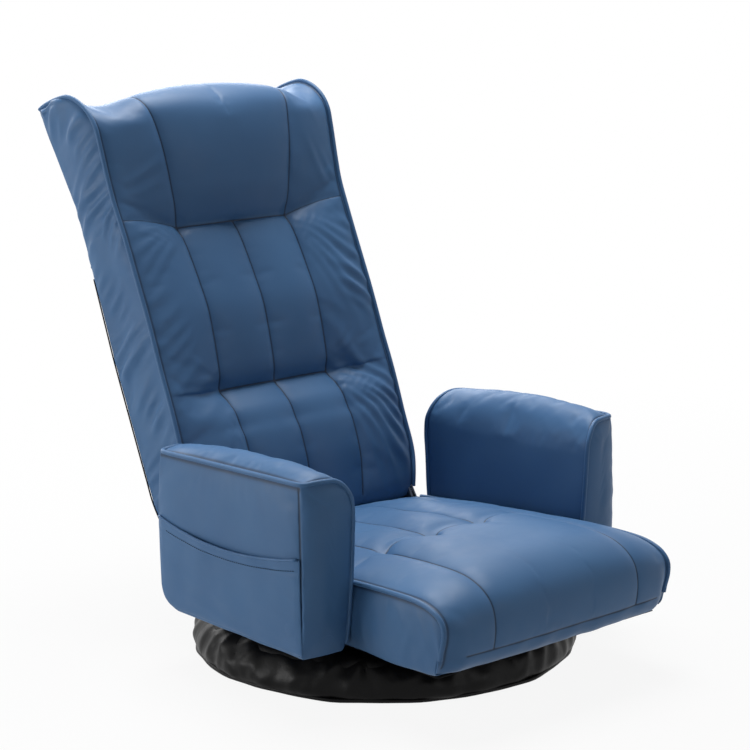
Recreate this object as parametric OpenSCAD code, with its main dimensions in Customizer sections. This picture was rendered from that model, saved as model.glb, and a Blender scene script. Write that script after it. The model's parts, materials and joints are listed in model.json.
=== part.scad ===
/* [Seat] */
// Width of the seat and of the back over their side seams
seat_w = 424; // [400:1:440]
// Distance from the swivel axis to the front of the seat
seat_front = 364; // [340:1:390]
// Height of the seat's underside above the floor
seat_floor = 76; // [76:1:86]
// Height of the side piping above the floor
seat_side_top = 175; // [170:1:186]
// Rise of the middle of the seat above its side piping
seat_crown = 35; // [26:1:38]
// Half the spacing of the two long seams
seat_seam_x = 135; // [120:1:145]
// Half the spacing of the two rear tuft seams
seat_tuft_x = 46; // [38:1:56]
// Distance of the cross seam in front of the swivel axis
seat_seam_y = 125; // [100:1:150]
// Depth of the sewn seams in the seat
seat_seam_dip = 7; // [3:1:9]

/* [Back] */
// Length of the back from the hinge to its top edge
back_len = 684; // [640:1:720]
// Widening of the head end on each side
head_flare = 9; // [4:1:12]
// Lean of the back from upright, six ratchet steps up from flat
back_lean = 22.5; // [22.5:11.25:33.75]
// Distance from the hinge axis forward to the front piping
back_front = 28; // [24:1:32]
// Distance from the hinge axis back to the rear face
back_rear = 74; // [72:1:80]
// Half the spacing of the long seams in the back
back_seam_x = 103; // [92:1:112]
// Half the spacing of the headrest seams at the top
head_seam_x = 136; // [124:1:146]
// Swell of the two sewn channels between their seams
channel_swell = 9; // [4:1:11]
// Swell of the headrest pillow
head_swell = 12; // [6:1:14]
// Swell of the side bolsters
bolster_swell = 6; // [2:1:9]
// Height on the back where the black rear cloth ends
rear_cloth_len = 433; // [400:1:460]

/* [Arms] */
// Gap between the side of the seat and an arm
arm_gap = 9; // [6:1:16]
// Thickness of an arm from its inner to its outer face
arm_w = 72; // [64:1:84]
// Distance from the swivel axis to the front of an arm
arm_front = 186; // [176:1:196]
// Distance from the swivel axis to the rear of an arm
arm_rear = 148; // [140:1:156]
// Height of the arm's top edge above the floor
arm_top = 306; // [296:1:316]
// Rise of the arm's top between its edges
arm_crown = 9; // [4:1:12]
// Height of the pocket's mouth at its lowest point
pocket_mouth = 198; // [180:1:215]
// Sag of the pocket's mouth from end to end
pocket_sag = 20; // [10:1:28]
// Gap inside the pocket
pocket_gap = 6.5; // [5:0.5:9]

/* [Base] */
// Radius of the base cover
base_r = 276; // [266:1:286]
// Gap between the base cover and the underside of the seat
seat_gap = 6; // [5:0.5:8]
// Depth of the cover's creases
crease = 3; // [1:0.5:4]
// Distance of the steel ring's middle inside the edge of the cover
ring_in = 44; // [40:1:50]
// Radius of the ring's tube
ring_tube_r = 11; // [10:0.5:12]

/* [Hinges] */
// Distance of the hinge axis behind the swivel axis
pivot_y = 175; // [170:1:180]
// Height of the hinge axis above the floor
pivot_z = 151; // [148:1:154]
// Number of ratchet teeth in a full turn
tooth_count = 32; // [32:1:32]
// Radius over the ratchet teeth
tooth_r = 22; // [20:0.5:23]
// Depth of a ratchet tooth
tooth_depth = 3.4; // [2.5:0.1:3.6]
// Radius of the hinge pin
pin_r = 5; // [4:0.5:6]
// Running clearance of a pin in its bore
run_gap = 0.05; // [0.03:0.01:0.1]

/* [Frame] */
// Radius of the seat and back frame tubes
tube_r = 10; // [9:0.5:10]
// Wall of the frame tubes
tube_wall = 1.5; // [1.2:0.1:2]
// Distance of the seat's side tubes inside the side of the seat
tube_in = 34; // [33:1:38]
// Radius of the bends in the frame tubes
bend_r = 50; // [35:1:60]
// Radius of the armrest tubes
arm_tube_r = 9; // [8:0.5:10]

/* [Hidden] */
$fn = 48;
blue = "#4a6b96";
black = "#1c1c20";
steel = "#9a9da3";
dark_steel = "#3a3c42";
foam = "#c9c2a8";
web = "#55585f";

// Clearances, sheets and overruns
gap = 0.3;
over = 1;
cloth_t = 1.5;
disc_t = 2;
slope_run = 3.5;
strap_t = 2;
strap_w = 46;
end_dome = 2;
seat_half = seat_w / 2;
back_half = seat_half;
tube_x = seat_half - tube_in;
arm_inner = seat_half + arm_gap;
arm_outer = arm_inner + arm_w;
base_h = seat_floor - seat_gap;
ring_r = base_r - ring_in;

// Swivel bearing
ball_r = 4;
race_gap = 0.1;
race_r = 52;
race_depth = 1.5;
plate_t = 4;
ball_count = 16;
cross_w = 30;
cross_h = 20;
cross_wall = 2;
cross_z = disc_t + 2 * ring_tube_r;
lower_z = cross_z + cross_h;
ball_z = lower_z + plate_t - race_depth + ball_r;
upper_z = ball_z + ball_r - race_depth;
upper_top = upper_z + plate_t;
lower_plate_r = 94;
upper_plate_r = 77;
lower_bolt_r = 85;
upper_bolt_r = 66;
bolt_r = 3;
bolt_hole_r = 3.25;
bolt_head_r = 5;
bolt_head_h = 3.5;
swivel_pin_r = 12;
swivel_head_r = 17;
swivel_head_h = 2;
cage_t = 2;
cage_w = 16;

// Seat structure: the rails fill the height between the bearing and the underside cloth
rail_y = upper_bolt_r * sin(45);
rail_w = 28;
rail_wall = 2;
rail_h = seat_floor - upper_top;
rail_half = tube_x + tube_r;
frame_z = seat_floor + cloth_t + tube_r;
frame_front = seat_front - 2.1 * 2 * tube_r;
seat_foam_z = seat_floor + cloth_t;
pocket_top = frame_z + tube_r + strap_t + over;
seat_pocket_front = frame_front + tube_r + over;
crevice_gap = 4;
seat_end = pivot_y - crevice_gap;
seat_pocket_rear = seat_end - 2 * tube_r;
seat_edge_in = 6;

// Hinge stack, outwards from the seat's side tube
stack_x = tube_x + tube_r;
inner_plate_t = 3;
gear_t = 4;
outer_plate_t = 2.5;
gear_x = stack_x + inner_plate_t + gap;
outer_plate_x = gear_x + gear_t + gap;
pin_head_h = 2;
pin_head_r = 1.7 * pin_r;
hinge_slot_in = tube_x - tube_r - 2 * over;
hinge_slot_out = outer_plate_x + outer_plate_t + pin_head_h + over;
hinge_slot = 62;
hinge_room = tooth_r + 6 * over;
back_tube_x = gear_x - tube_r;
back_tube_w = 55;
pitch = 360 / tooth_count;
// Folded forwards, the seat and the back keep this much room between them
fold_open = 3 * pitch;
seat_fold = 15;
back_fold = fold_open - seat_fold;

// Pawl, from the hinge axis
pawl_pin_r = 3;
pawl_pin_at = [-29, -23];
pawl_tip_turn = -105;
pawl_lift = 0.5;
pawl_boss_r = 5.5;
pawl_turn = 8;

// Turns a point on the back, s along it and w towards its front, into the chair's frame
function on_back(x, s, w) = [
    x,
    pivot_y + s * sin(back_lean) - w * cos(back_lean),
    pivot_z + s * cos(back_lean) + w * sin(back_lean)
];
function mix(a, b, t) = a + (b - a) * t;
function clamp01(t) = max(0, min(1, t));
function smooth(t) = let (u = clamp01(t)) u * u * (3 - 2 * u);
function hump(t) = sin(180 * clamp01(t));
function valley(d, reach) = exp(-pow(d / reach, 2));

// Closed skin over a row of loops, with a middle point at each end
// turned is for loops that are drawn the other way round
module skin(loops, end_in, turned = false) {
    n = len(loops);
    m = len(loops[0]);
    ends = [for (k = [0, n - 1])
        let (c = [for (a = [0, 1, 2]) mean([for (p = loops[k]) p[a]])])
        [c[0] + (k == 0 ? end_in : -end_in), c[1], c[2]]];
    points = concat([for (l = loops) each l], ends);
    sides = [for (i = [0 : n - 2], j = [0 : m - 1])
        let (a = i * m + j, b = i * m + (j + 1) % m)
        each [[a, b, a + m], [b, b + m, a + m]]];
    caps = [for (j = [0 : m - 1])
        let (k = (j + 1) % m, t = (n - 1) * m)
        each [[k, j, n * m], [t + j, t + k, n * m + 1]]];
    faces = concat(sides, caps);
    polyhedron(points, turned ? [for (f = faces) [f[2], f[1], f[0]]] : faces, convexity = 10);
}
function total(v, i = 0) = i < len(v) ? v[i] + total(v, i + 1) : 0;
function mean(v) = total(v) / len(v);

// Tube around a flat path with two equal bends: legs along +Y from the bend, bar along X
module bent_tube(half, leg, bar_y, r, wall, bend) {
    module ring2d() {
        difference() {
            circle(r);
            circle(r - wall);
        }
    }
    for (side = [-1, 1]) {
        translate([side * half, bar_y + bend, 0])
            rotate([-90, 0, 0])
                linear_extrude(leg - bar_y - bend) ring2d();
        translate([side * (half - bend), bar_y + bend, 0])
            rotate([0, 0, side > 0 ? -90 : 180])
                rotate_extrude(angle = 90)
                    translate([bend, 0]) ring2d();
    }
    translate([-(half - bend), bar_y, 0])
        rotate([0, 90, 0])
            linear_extrude(2 * (half - bend)) ring2d();
}
module cross_tube(half, r, wall) {
    translate([-half, 0, 0])
        rotate([0, 90, 0])
            difference() {
                cylinder(h = 2 * half, r = r);
                translate([0, 0, -over]) cylinder(h = 2 * half + 2 * over, r = r - wall);
            }
}
module place_on_back() {
    translate([0, pivot_y, pivot_z])
        rotate([90 - back_lean, 0, 0])
            children();
}
module bolt(length) {
    translate([0, 0, -bolt_head_h]) cylinder(h = bolt_head_h, r = bolt_head_r, $fn = 6);
    cylinder(h = length, r = bolt_r);
}

// Base
module base_bottom_cloth() {
    color(black) cylinder(h = disc_t, r = base_r - 1.25 * cover_side - 1.5 * over, $fn = 96);
}
module base_ring() {
    color(dark_steel)
        translate([0, 0, disc_t + ring_tube_r])
            rotate_extrude($fn = 96)
                translate([ring_r, 0])
                    difference() {
                        circle(ring_tube_r);
                        circle(ring_tube_r - tube_wall);
                    }
}
module cross_shape(w, h, half) {
    for (turn = [45, 135])
        rotate([0, 0, turn])
            translate([-half, -w / 2, 0])
                cube([2 * half, w, h]);
}
module base_cross_bars() {
    color(dark_steel)
        difference() {
            translate([0, 0, cross_z]) cross_shape(cross_w, cross_h, ring_r + ring_tube_r);
            translate([0, 0, cross_z + cross_wall])
                cross_shape(cross_w - 2 * cross_wall, cross_h - 2 * cross_wall, ring_r + 2 * ring_tube_r);
            for (turn = [45 : 90 : 315])
                rotate([0, 0, turn])
                    translate([lower_bolt_r, 0, cross_z - over])
                        cylinder(h = cross_h + 2 * over, r = bolt_hole_r);
        }
}
// Padded cover: its crest, the foot of its inner slope and the flat that lies on the cross bars
cover_side = 10;
cover_t = 5;
cover_flat_t = 4;
cover_plate_gap = 8;
rim_w = 39;
fall_w = 33;
foam_gap = 3;
crest_r = base_r - rim_w;
foot_r = crest_r - fall_w;
cover_in_r = lower_plate_r + cover_plate_gap;
cover_bed = lower_z + gap;
cover_flat = cover_bed + cover_flat_t;
cover_mid_r = mix(cover_in_r, foot_r, 0.62);
module base_foam() {
    color(foam)
        difference() {
            rotate_extrude($fn = 96)
                polygon([
                    [foot_r + over, disc_t],
                    [base_r - 1.25 * cover_side - foam_gap, disc_t],
                    [base_r - cover_side - foam_gap, base_h * 0.45],
                    [base_r - 1.25 * cover_side - 2 * foam_gap, base_h * 0.7 - foam_gap],
                    [crest_r, base_h - cover_t - foam_gap],
                    [crest_r - 0.35 * fall_w, base_h - 3 * cover_t],
                    [foot_r + over, lower_z - cross_wall]
                ]);
            translate([0, 0, disc_t + ring_tube_r])
                rotate_extrude($fn = 96)
                    translate([ring_r, 0]) circle(ring_tube_r + gap);
            translate([0, 0, cross_z - gap])
                cross_shape(cross_w + 2 * gap, cross_h + 2 * gap, ring_r + ring_tube_r + gap);
        }
}
// Section of the base cover: outer skin from the hem over the crest to the middle, then the inner skin
cover_section = [
    [base_r - 0.1 * rim_w, 0], [base_r - 0.02 * rim_w, 0.2 * base_h], [base_r, 0.45 * base_h],
    [base_r - 0.14 * rim_w, 0.74 * base_h], [base_r - 0.5 * rim_w, 0.93 * base_h], [crest_r, base_h],
    [crest_r - 0.58 * fall_w, mix(cover_flat, base_h, 0.76)], [foot_r, mix(cover_flat, base_h, 0.17)],
    [cover_mid_r, cover_flat], [cover_in_r, cover_flat],
    [cover_in_r, cover_bed], [cover_mid_r, cover_bed], [foot_r, cover_bed + over],
    [crest_r, base_h - cover_t],
    [base_r - 0.6 * rim_w, base_h - 2 * cover_t], [base_r - 1.25 * cover_side, 0.7 * base_h],
    [base_r - cover_side, 0.45 * base_h], [base_r - 1.25 * cover_side, 0]
];
cover_skin_count = 9;
cover_turns = 48;
// Creases fade out towards the hem and the middle
crease_shares = [0, 0.7, 1, 1, 0.9, 0.6, 0.8, 0.5, 0, 0];
function cover_crease(a) = 0.45 * sin(11 * a + 20) + 0.35 * sin(17 * a + 75) + 0.2 * sin(23 * a);
function cover_point(a, k) =
    let (
        outer = k <= cover_skin_count,
        amount = outer ? crease * crease_shares[k] * cover_crease(a + 6 * k) : 0,
        r = cover_section[k][0] + amount,
        z = cover_section[k][1] + (outer && k > 2 && k < 8 ? -abs(amount) * 0.5 : 0)
    )
    [r * cos(a), r * sin(a), max(0, z)];
module base_cover() {
    m = len(cover_section);
    points = [for (i = [0 : cover_turns - 1], k = [0 : m - 1]) cover_point(360 * i / cover_turns, k)];
    faces = [for (i = [0 : cover_turns - 1], k = [0 : m - 1])
        let (j = (i + 1) % cover_turns, l = (k + 1) % m)
        each [[i * m + k, i * m + l, j * m + k], [i * m + l, j * m + l, j * m + k]]];
    color(black) polyhedron(points, faces, convexity = 10);
}

// Swivel
module swivel_lower_plate() {
    color(steel)
        difference() {
            translate([0, 0, lower_z]) cylinder(h = plate_t, r = lower_plate_r, $fn = 96);
            translate([0, 0, ball_z])
                rotate_extrude($fn = 96) translate([race_r, 0]) circle(ball_r + race_gap);
            translate([0, 0, lower_z - over]) cylinder(h = plate_t + 2 * over, r = swivel_pin_r);
            for (turn = [45 : 90 : 315])
                rotate([0, 0, turn])
                    translate([lower_bolt_r, 0, lower_z - over])
                        cylinder(h = plate_t + 2 * over, r = bolt_hole_r);
        }
}
module swivel_lower_bolts() {
    color(dark_steel)
        for (turn = [45 : 90 : 315])
            rotate([0, 0, turn])
                translate([lower_bolt_r, 0, cross_z]) {
                    bolt(cross_h + plate_t);
                    translate([0, 0, cross_h + plate_t])
                        cylinder(h = bolt_head_h, r = bolt_head_r, $fn = 6);
                }
}
module swivel_pin() {
    color(steel) {
        translate([0, 0, lower_z]) cylinder(h = upper_top + gap - lower_z, r = swivel_pin_r);
        translate([0, 0, upper_top + gap]) cylinder(h = swivel_head_h, r = swivel_head_r);
    }
}
module ball_cage() {
    color("#c8b070")
        translate([0, 0, ball_z - cage_t / 2])
            difference() {
                cylinder(h = cage_t, r = race_r + cage_w / 2, $fn = 96);
                translate([0, 0, -over])
                    cylinder(h = cage_t + 2 * over, r = race_r - cage_w / 2, $fn = 96);
                for (i = [0 : ball_count - 1])
                    rotate([0, 0, 360 * i / ball_count])
                        translate([race_r, 0, -over])
                            cylinder(h = cage_t + 2 * over, r = ball_r + race_gap);
            }
}
module swivel_balls() {
    color(steel)
        for (i = [0 : ball_count - 1])
            rotate([0, 0, 360 * i / ball_count])
                translate([race_r, 0, ball_z]) sphere(ball_r);
}
module swivel_upper_plate() {
    color(steel)
        difference() {
            translate([0, 0, upper_z]) cylinder(h = plate_t, r = upper_plate_r, $fn = 96);
            translate([0, 0, ball_z])
                rotate_extrude($fn = 96) translate([race_r, 0]) circle(ball_r + race_gap);
            translate([0, 0, upper_z - over])
                cylinder(h = plate_t + 2 * over, r = swivel_pin_r + run_gap);
            for (turn = [45 : 90 : 315])
                rotate([0, 0, turn])
                    translate([upper_bolt_r, 0, upper_z - over])
                        cylinder(h = plate_t + 2 * over, r = bolt_hole_r);
        }
}

// Seat structure
module seat_rails() {
    color(dark_steel)
        for (side = [-1, 1])
            difference() {
                translate([-rail_half, side * rail_y - rail_w / 2, upper_top])
                    cube([2 * rail_half, rail_w, rail_h]);
                translate([-rail_half - over, side * rail_y - rail_w / 2 + rail_wall, upper_top + rail_wall])
                    cube([2 * rail_half + 2 * over, rail_w - 2 * rail_wall, rail_h - 2 * rail_wall]);
                for (x = [-tube_x, -rail_y, rail_y, tube_x])
                    translate([x, side * rail_y, upper_top - over])
                        cylinder(h = rail_h + 2 * over, r = bolt_hole_r);
            }
}
module seat_rail_bolts() {
    color(dark_steel)
        for (side = [-1, 1]) {
            for (x = [-rail_y, rail_y])
                translate([x, side * rail_y, upper_z]) bolt(plate_t + rail_h - rail_wall);
            for (x = [-tube_x, tube_x])
                translate([x, side * rail_y, upper_top]) bolt(rail_h + cloth_t + tube_r);
        }
}
module seat_bottom_cloth() {
    cloth_half = seat_half - slope_run;
    corner = bend_r / 2;
    color(black)
        difference() {
            translate([0, 0, seat_floor])
                linear_extrude(cloth_t)
                    difference() {
                        translate([-cloth_half, -seat_front + 2 * tube_r])
                            square([2 * cloth_half, seat_end + seat_front - 2 * tube_r]);
                        for (side = [-1, 1])
                            translate([side * cloth_half, -seat_front + 2 * tube_r])
                                corner_cut(corner, side);
                    }
            for (side = [-1, 1], x = [-tube_x, tube_x])
                translate([x, side * rail_y, seat_floor - over])
                    cylinder(h = cloth_t + 2 * over, r = bolt_hole_r);
        }
}
module corner_cut(r, side) {
    difference() {
        translate([side > 0 ? -r : -over, -over]) square(r + over);
        translate([-side * r, r]) circle(r);
    }
}
module seat_frame() {
    color(dark_steel)
        difference() {
            translate([0, 0, frame_z])
                bent_tube(tube_x, seat_pocket_rear - over, -frame_front, tube_r, tube_wall, bend_r);
            for (side = [-1, 1], x = [-tube_x, tube_x])
                translate([x, side * rail_y, seat_floor])
                    cylinder(h = cloth_t + tube_r, r = bolt_hole_r);
        }
}
seat_cross_shares = [-0.5, 0.48];
module seat_cross_bars() {
    color(dark_steel)
        for (k = seat_cross_shares)
            translate([0, k * pivot_y + (k < 0 ? -strap_w : 0), frame_z])
                cross_tube(tube_x - tube_r, tube_r, tube_wall);
}
seat_strap_count = 6;
module seat_webbing() {
    // The last strap stops short of the hinge slots
    run = frame_front - bend_r + seat_end - hinge_slot - strap_w / 2 - 3 * strap_t;
    color(web)
        for (i = [0 : seat_strap_count - 1])
            translate([-stack_x, -frame_front + bend_r + run * i / (seat_strap_count - 1) - strap_w / 2,
                frame_z + tube_r])
                cube([2 * stack_x, strap_w, strap_t]);
}

// Seat cushion: side seam and crown along the seat, as shares of the reach from rear to front
seat_len = seat_end + seat_front;
seat_rise = seat_side_top - seat_foam_z;
seat_run_shares = [
    0, 0.05, 0.11, 0.18, 0.26, 0.34, 0.42, 0.48, 0.52, 0.545, 0.5535, 0.562, 0.585, 0.64, 0.72,
    0.8, 0.87, 0.92, 0.955, 0.982, 0.996
];
seat_side_rise = [
    [0, 0.66], [0.114, 0.723], [0.207, 0.764], [0.32, 0.815], [0.432, 0.872], [0.553, 0.928], [0.65, 0.964],
    [0.766, 1], [0.87, 1], [0.92, 0.985], [0.955, 0.91], [0.982, 0.77], [1, 0.5]
];
seat_crown_shares = [
    [0, 0.1], [0.04, 0.2], [0.114, 0.5], [0.207, 0.82], [0.32, 0.97], [0.432, 1], [0.553, 0.82], [0.65, 0.74],
    [0.766, 0.68], [0.87, 0.55], [0.93, 0.35], [0.97, 0.22], [1, 0.1]
];
// Nose of the seat below its widest point, as shares of reach and rise
seat_nose_shares = [[1, 0.5], [0.992, 0.26], [0.972, 0.09], [0.955, 0]];
function seat_y(t) = seat_end - seat_len * t;
valley_w = 9;
seam_arc = 12;
function seat_valley(x, y) =
    let (
        long = valley(abs(x) - seat_seam_x, valley_w),
        rear = y > -seat_seam_y ? valley(abs(x) - seat_tuft_x, 0.9 * valley_w) : 0,
        arc = seat_seam_y - seam_arc * hump(abs(x) < seat_tuft_x ? 0.5 + x / seat_tuft_x / 2
            : (abs(x) - seat_tuft_x) / (seat_seam_x - seat_tuft_x)),
        cross = abs(x) < seat_seam_x + 2 * over ? valley(y + arc, 1.1 * valley_w) : 0
    )
    seat_seam_dip * max(0.7 * long, 0.8 * rear, cross);
function seat_top(x, t) =
    let (
        across = 1 - pow(abs(x) / seat_half, 2.4),
        fade = smooth(t / 0.12) * smooth((1 - t) / 0.08)
    )
    seat_foam_z + seat_rise * lookup(t, seat_side_rise)
        + seat_crown * lookup(t, seat_crown_shares) * across
        - seat_valley(x, seat_y(t)) * across * fade;
// The seat stays below the line that the folded back comes down to
function seat_core_top(x, t) =
    min(seat_top(x, t), pivot_z + (pivot_y - seat_y(t)) * tan(seat_fold) - over);
seat_station_shares = [0, 0.11, 0.19, 0.217, 0.25, 0.4, 0.55, 0.615, 0.637, 0.66];
function edge_stations(half) = [
    hinge_slot_in - slope_run, hinge_slot_in, (hinge_slot_in + hinge_slot_out) / 2, hinge_slot_out,
    hinge_slot_out + slope_run, half
];
function both_sides(v) = concat([for (i = [len(v) - 1 : -1 : 1]) -v[i]], v);
seat_x = both_sides(concat([for (k = seat_station_shares) k * seat_half], edge_stations(seat_half)));
function in_slot(x) = abs(x) > hinge_slot_in - gap && abs(x) < hinge_slot_out + gap;
function in_pocket(x) = abs(x) < hinge_slot_out + gap;
function draw_in(x, half) = abs(x) > half - over ? seat_edge_in * 0.5 : 0;
seat_fit_share = 0.18;
function seat_loop(x) =
    let (
        slot = in_slot(x) ? hinge_slot / seat_len : 0,
        inset = draw_in(x, seat_half),
        fit = seat_fit_share,
        run = [for (t = seat_run_shares) t < fit ? mix(slot, fit, t / fit) : t],
        top = [for (t = run) [x, seat_y(t), seat_core_top(x, t) - inset]],
        nose = [for (p = seat_nose_shares) [x, seat_y(p[0]) + inset, seat_foam_z + seat_rise * p[1]]],
        roof = in_pocket(x) ? pocket_top : seat_foam_z,
        rear_y = seat_y(slot),
        // Beside the hinges the room for the frame opens into the slot
        rear = in_slot(x)
            ? [[x, rear_y - 4 * over, roof], [x, rear_y - 2 * over, roof + over],
                [x, rear_y, roof + 2 * over]]
            : [[x, seat_pocket_rear - over, roof], [x, seat_pocket_rear, seat_foam_z],
                [x, rear_y, seat_foam_z]],
        low = concat([[x, -seat_pocket_front, seat_foam_z], [x, -seat_pocket_front + over, roof]], rear)
    )
    concat(top, nose, low);
module seat_cushion() {
    color(blue) skin([for (x = seat_x) seat_loop(x)], end_dome);
}

// Arms
arm_tube_out = 4;
arm_leg_front_in = 76;
arm_leg_rear_in = 63;
arm_rear_r = 36;
arm_front_r = 26;
arm_low_r = 34;
arm_foot_r = 10;
arm_foot_in = 8;
arm_tube_x = (arm_inner + arm_outer) / 2 + arm_tube_out;
arm_leg_front = arm_front - arm_leg_front_in;
arm_leg_rear = arm_rear - arm_leg_rear_in;
arm_leg_span = (arm_leg_front + arm_leg_rear) / 2;
arm_leg_mid = (arm_leg_rear - arm_leg_front) / 2;
arm_bar_z = arm_top - 4.5 * arm_tube_r;
arm_slot = arm_tube_r + over;
arm_slot_reach = arm_leg_span + arm_tube_r + 2 * over;
corner_steps = 5;
// Rounded corner of an arm outline, from one quarter turn to the next
function corner(y, z, r, start, inset) = [for (i = [0 : corner_steps])
    let (a = start + 90 * i / corner_steps)
    [y + (r - inset) * cos(a), z + (r - inset) * sin(a)]];
function arm_outline(inset, lift, roof) =
    let (
        reach = arm_slot_reach,
        top_front = -arm_front + arm_front_r,
        top_rear = arm_rear - arm_rear_r
    )
    concat(
        corner(top_rear, arm_top - arm_rear_r, arm_rear_r, 0, inset),
        [for (k = [0.75, 0.5, 0.25])
            [mix(top_front, top_rear, k), arm_top - inset + lift * (1 + 0.35 * hump(k))]],
        corner(top_front, arm_top - arm_front_r, arm_front_r, 90, inset),
        corner(-arm_front + arm_foot_r + arm_foot_in, seat_floor + arm_foot_r, arm_foot_r, 180, inset),
        [
            [arm_leg_mid - reach, seat_floor + inset],
            [arm_leg_mid - reach + over, seat_floor + inset + roof],
            [arm_leg_mid + reach - over, seat_floor + inset + roof],
            [arm_leg_mid + reach, seat_floor + inset]
        ],
        corner(arm_rear - arm_low_r, seat_floor + arm_low_r, arm_low_r, 270, inset)
    );
arm_inset_shares = [
    [0, 1], [0.03, 0.45], [0.1, 0.05], [0.22, 0], [0.4, 0], [0.85, 0], [0.95, 0.2], [1, 0.7]
];
arm_edge_r = 7;
function arm_station(k, slot) =
    let (
        inset = arm_edge_r * lookup(k, arm_inset_shares),
        lift = arm_crown * hump(k * 0.96 + 0.02)
    )
    [for (p = arm_outline(inset, lift, slot ? arm_bar_z + arm_tube_r + over - seat_floor : 0))
        [arm_inner + arm_w * k, p[0], p[1]]];
slot_low_share = (arm_tube_x - arm_slot - arm_inner) / arm_w;
slot_high_share = (arm_tube_x + arm_slot - arm_inner) / arm_w;
slot_edge_share = 2 * over / arm_w;
module arm_pad() {
    stations = [
        [0, false], [0.03, false], [0.1, false], [0.22, false],
        [slot_low_share - slot_edge_share, false], [slot_low_share, true],
        [slot_high_share, true], [slot_high_share + slot_edge_share, false],
        [0.87, false], [0.95, false], [1, false]
    ];
    color(blue) skin([for (s = stations) arm_station(s[0], s[1])], 0.75 * end_dome);
}
module arm_frame() {
    color(dark_steel)
        translate([arm_tube_x, arm_leg_mid, 0])
            rotate([90, 0, 90])
                translate([0, arm_bar_z, 0])
                    mirror([0, 1, 0])
                        bent_tube(arm_leg_span, arm_bar_z - seat_floor, 0, arm_tube_r, tube_wall,
                            bend_r * 0.7);
}
bracket_w = 26;
bracket_t = 3;
module bracket_places() {
    for (side = [-1, 1], y = [-arm_leg_front, arm_leg_rear])
        translate([0, y, seat_floor - bracket_t])
            mirror([side < 0 ? 1 : 0, 0, 0])
                children();
}
module arm_brackets() {
    color(steel)
        bracket_places()
            difference() {
                translate([tube_x - tube_r, -bracket_w / 2, 0])
                    cube([arm_tube_x + arm_tube_r - tube_x + tube_r, bracket_w, bracket_t]);
                for (x = [tube_x, arm_tube_x])
                    translate([x, 0, -over]) cylinder(h = bracket_t + 2 * over, r = bolt_hole_r);
            }
}
module arm_bracket_bolts() {
    color(dark_steel)
        bracket_places()
            for (x = [tube_x, arm_tube_x])
                translate([x, 0, -gap]) {
                    cylinder(h = bracket_t + gap, r = bolt_r);
                    translate([0, 0, -bolt_head_h / 2])
                        cylinder(h = bolt_head_h / 2, r = bolt_head_r, $fn = 6);
                }
}
pocket_t = 2.5;
pocket_rim = 4;
pocket_front_in = 4;
pocket_rear_in = 5;
pocket_low_in = 5;
pocket_corner_r = 30;
pocket_low_y = 10;
function pocket_z(y) =
    let (half = (arm_front + arm_rear) / 2, mid = (arm_rear - arm_front) / 2 + pocket_low_y)
    pocket_mouth + pocket_sag * pow((y - mid) / half, 2);
module pocket_outline(inset) {
    rear_r = pocket_corner_r;
    y0 = -arm_front + pocket_front_in + inset;
    y1 = arm_rear - pocket_rear_in - inset;
    z0 = seat_floor + pocket_low_in + inset;
    steps = 10;
    polygon(concat(
        [for (i = [0 : corner_steps])
            let (a = 270 + 90 * i / corner_steps)
            [y1 - rear_r + rear_r * cos(a), z0 + rear_r + rear_r * sin(a)]],
        [for (i = [0 : steps])
            let (y = mix(y1, y0, i / steps))
            [y, pocket_z(y) + (inset > 0 ? over : 0)]],
        [[y0 + pocket_front_in, z0]]
    ));
}
module arm_pocket() {
    color(blue)
        translate([arm_outer, 0, 0])
            rotate([90, 0, 90])
                difference() {
                    linear_extrude(pocket_gap + pocket_t) pocket_outline(0);
                    translate([0, 0, -over]) linear_extrude(pocket_gap + over) pocket_outline(pocket_rim);
                }
}

// Ratchet hinges
plate_edge = 4;
module plate_outline() {
    hull() {
        circle(tooth_r);
        translate(pawl_pin_at) circle(pawl_boss_r + plate_edge);
        translate([-tube_r - plate_edge, frame_z - pivot_z]) circle(tube_r);
        translate([-4 * tube_r, frame_z - pivot_z]) circle(tube_r);
    }
}
module at_hinge(x) {
    translate([x, pivot_y, pivot_z]) rotate([90, 0, 90]) children();
}
module hinge_plate(x, t) {
    color(steel)
        at_hinge(x)
            difference() {
                linear_extrude(t) plate_outline();
                translate([0, 0, -over]) cylinder(h = t + 2 * over, r = pin_r);
                translate([pawl_pin_at[0], pawl_pin_at[1], -over])
                    cylinder(h = t + 2 * over, r = pawl_pin_r);
            }
}
module hinge_inner_plate() {
    hinge_plate(stack_x, inner_plate_t);
}
module hinge_outer_plate() {
    hinge_plate(outer_plate_x, outer_plate_t);
}
module hinge_pin() {
    stack = outer_plate_x + outer_plate_t - stack_x;
    color(steel)
        at_hinge(stack_x) {
            cylinder(h = stack, r = pin_r);
            for (z = [-pin_head_h, stack])
                translate([0, 0, z]) cylinder(h = pin_head_h, r = pin_head_r);
        }
}
module pawl_pin() {
    stack = outer_plate_x + outer_plate_t - stack_x;
    color(steel)
        at_hinge(stack_x)
            translate([pawl_pin_at[0], pawl_pin_at[1], 0])
                cylinder(h = stack, r = pawl_pin_r);
}
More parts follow.
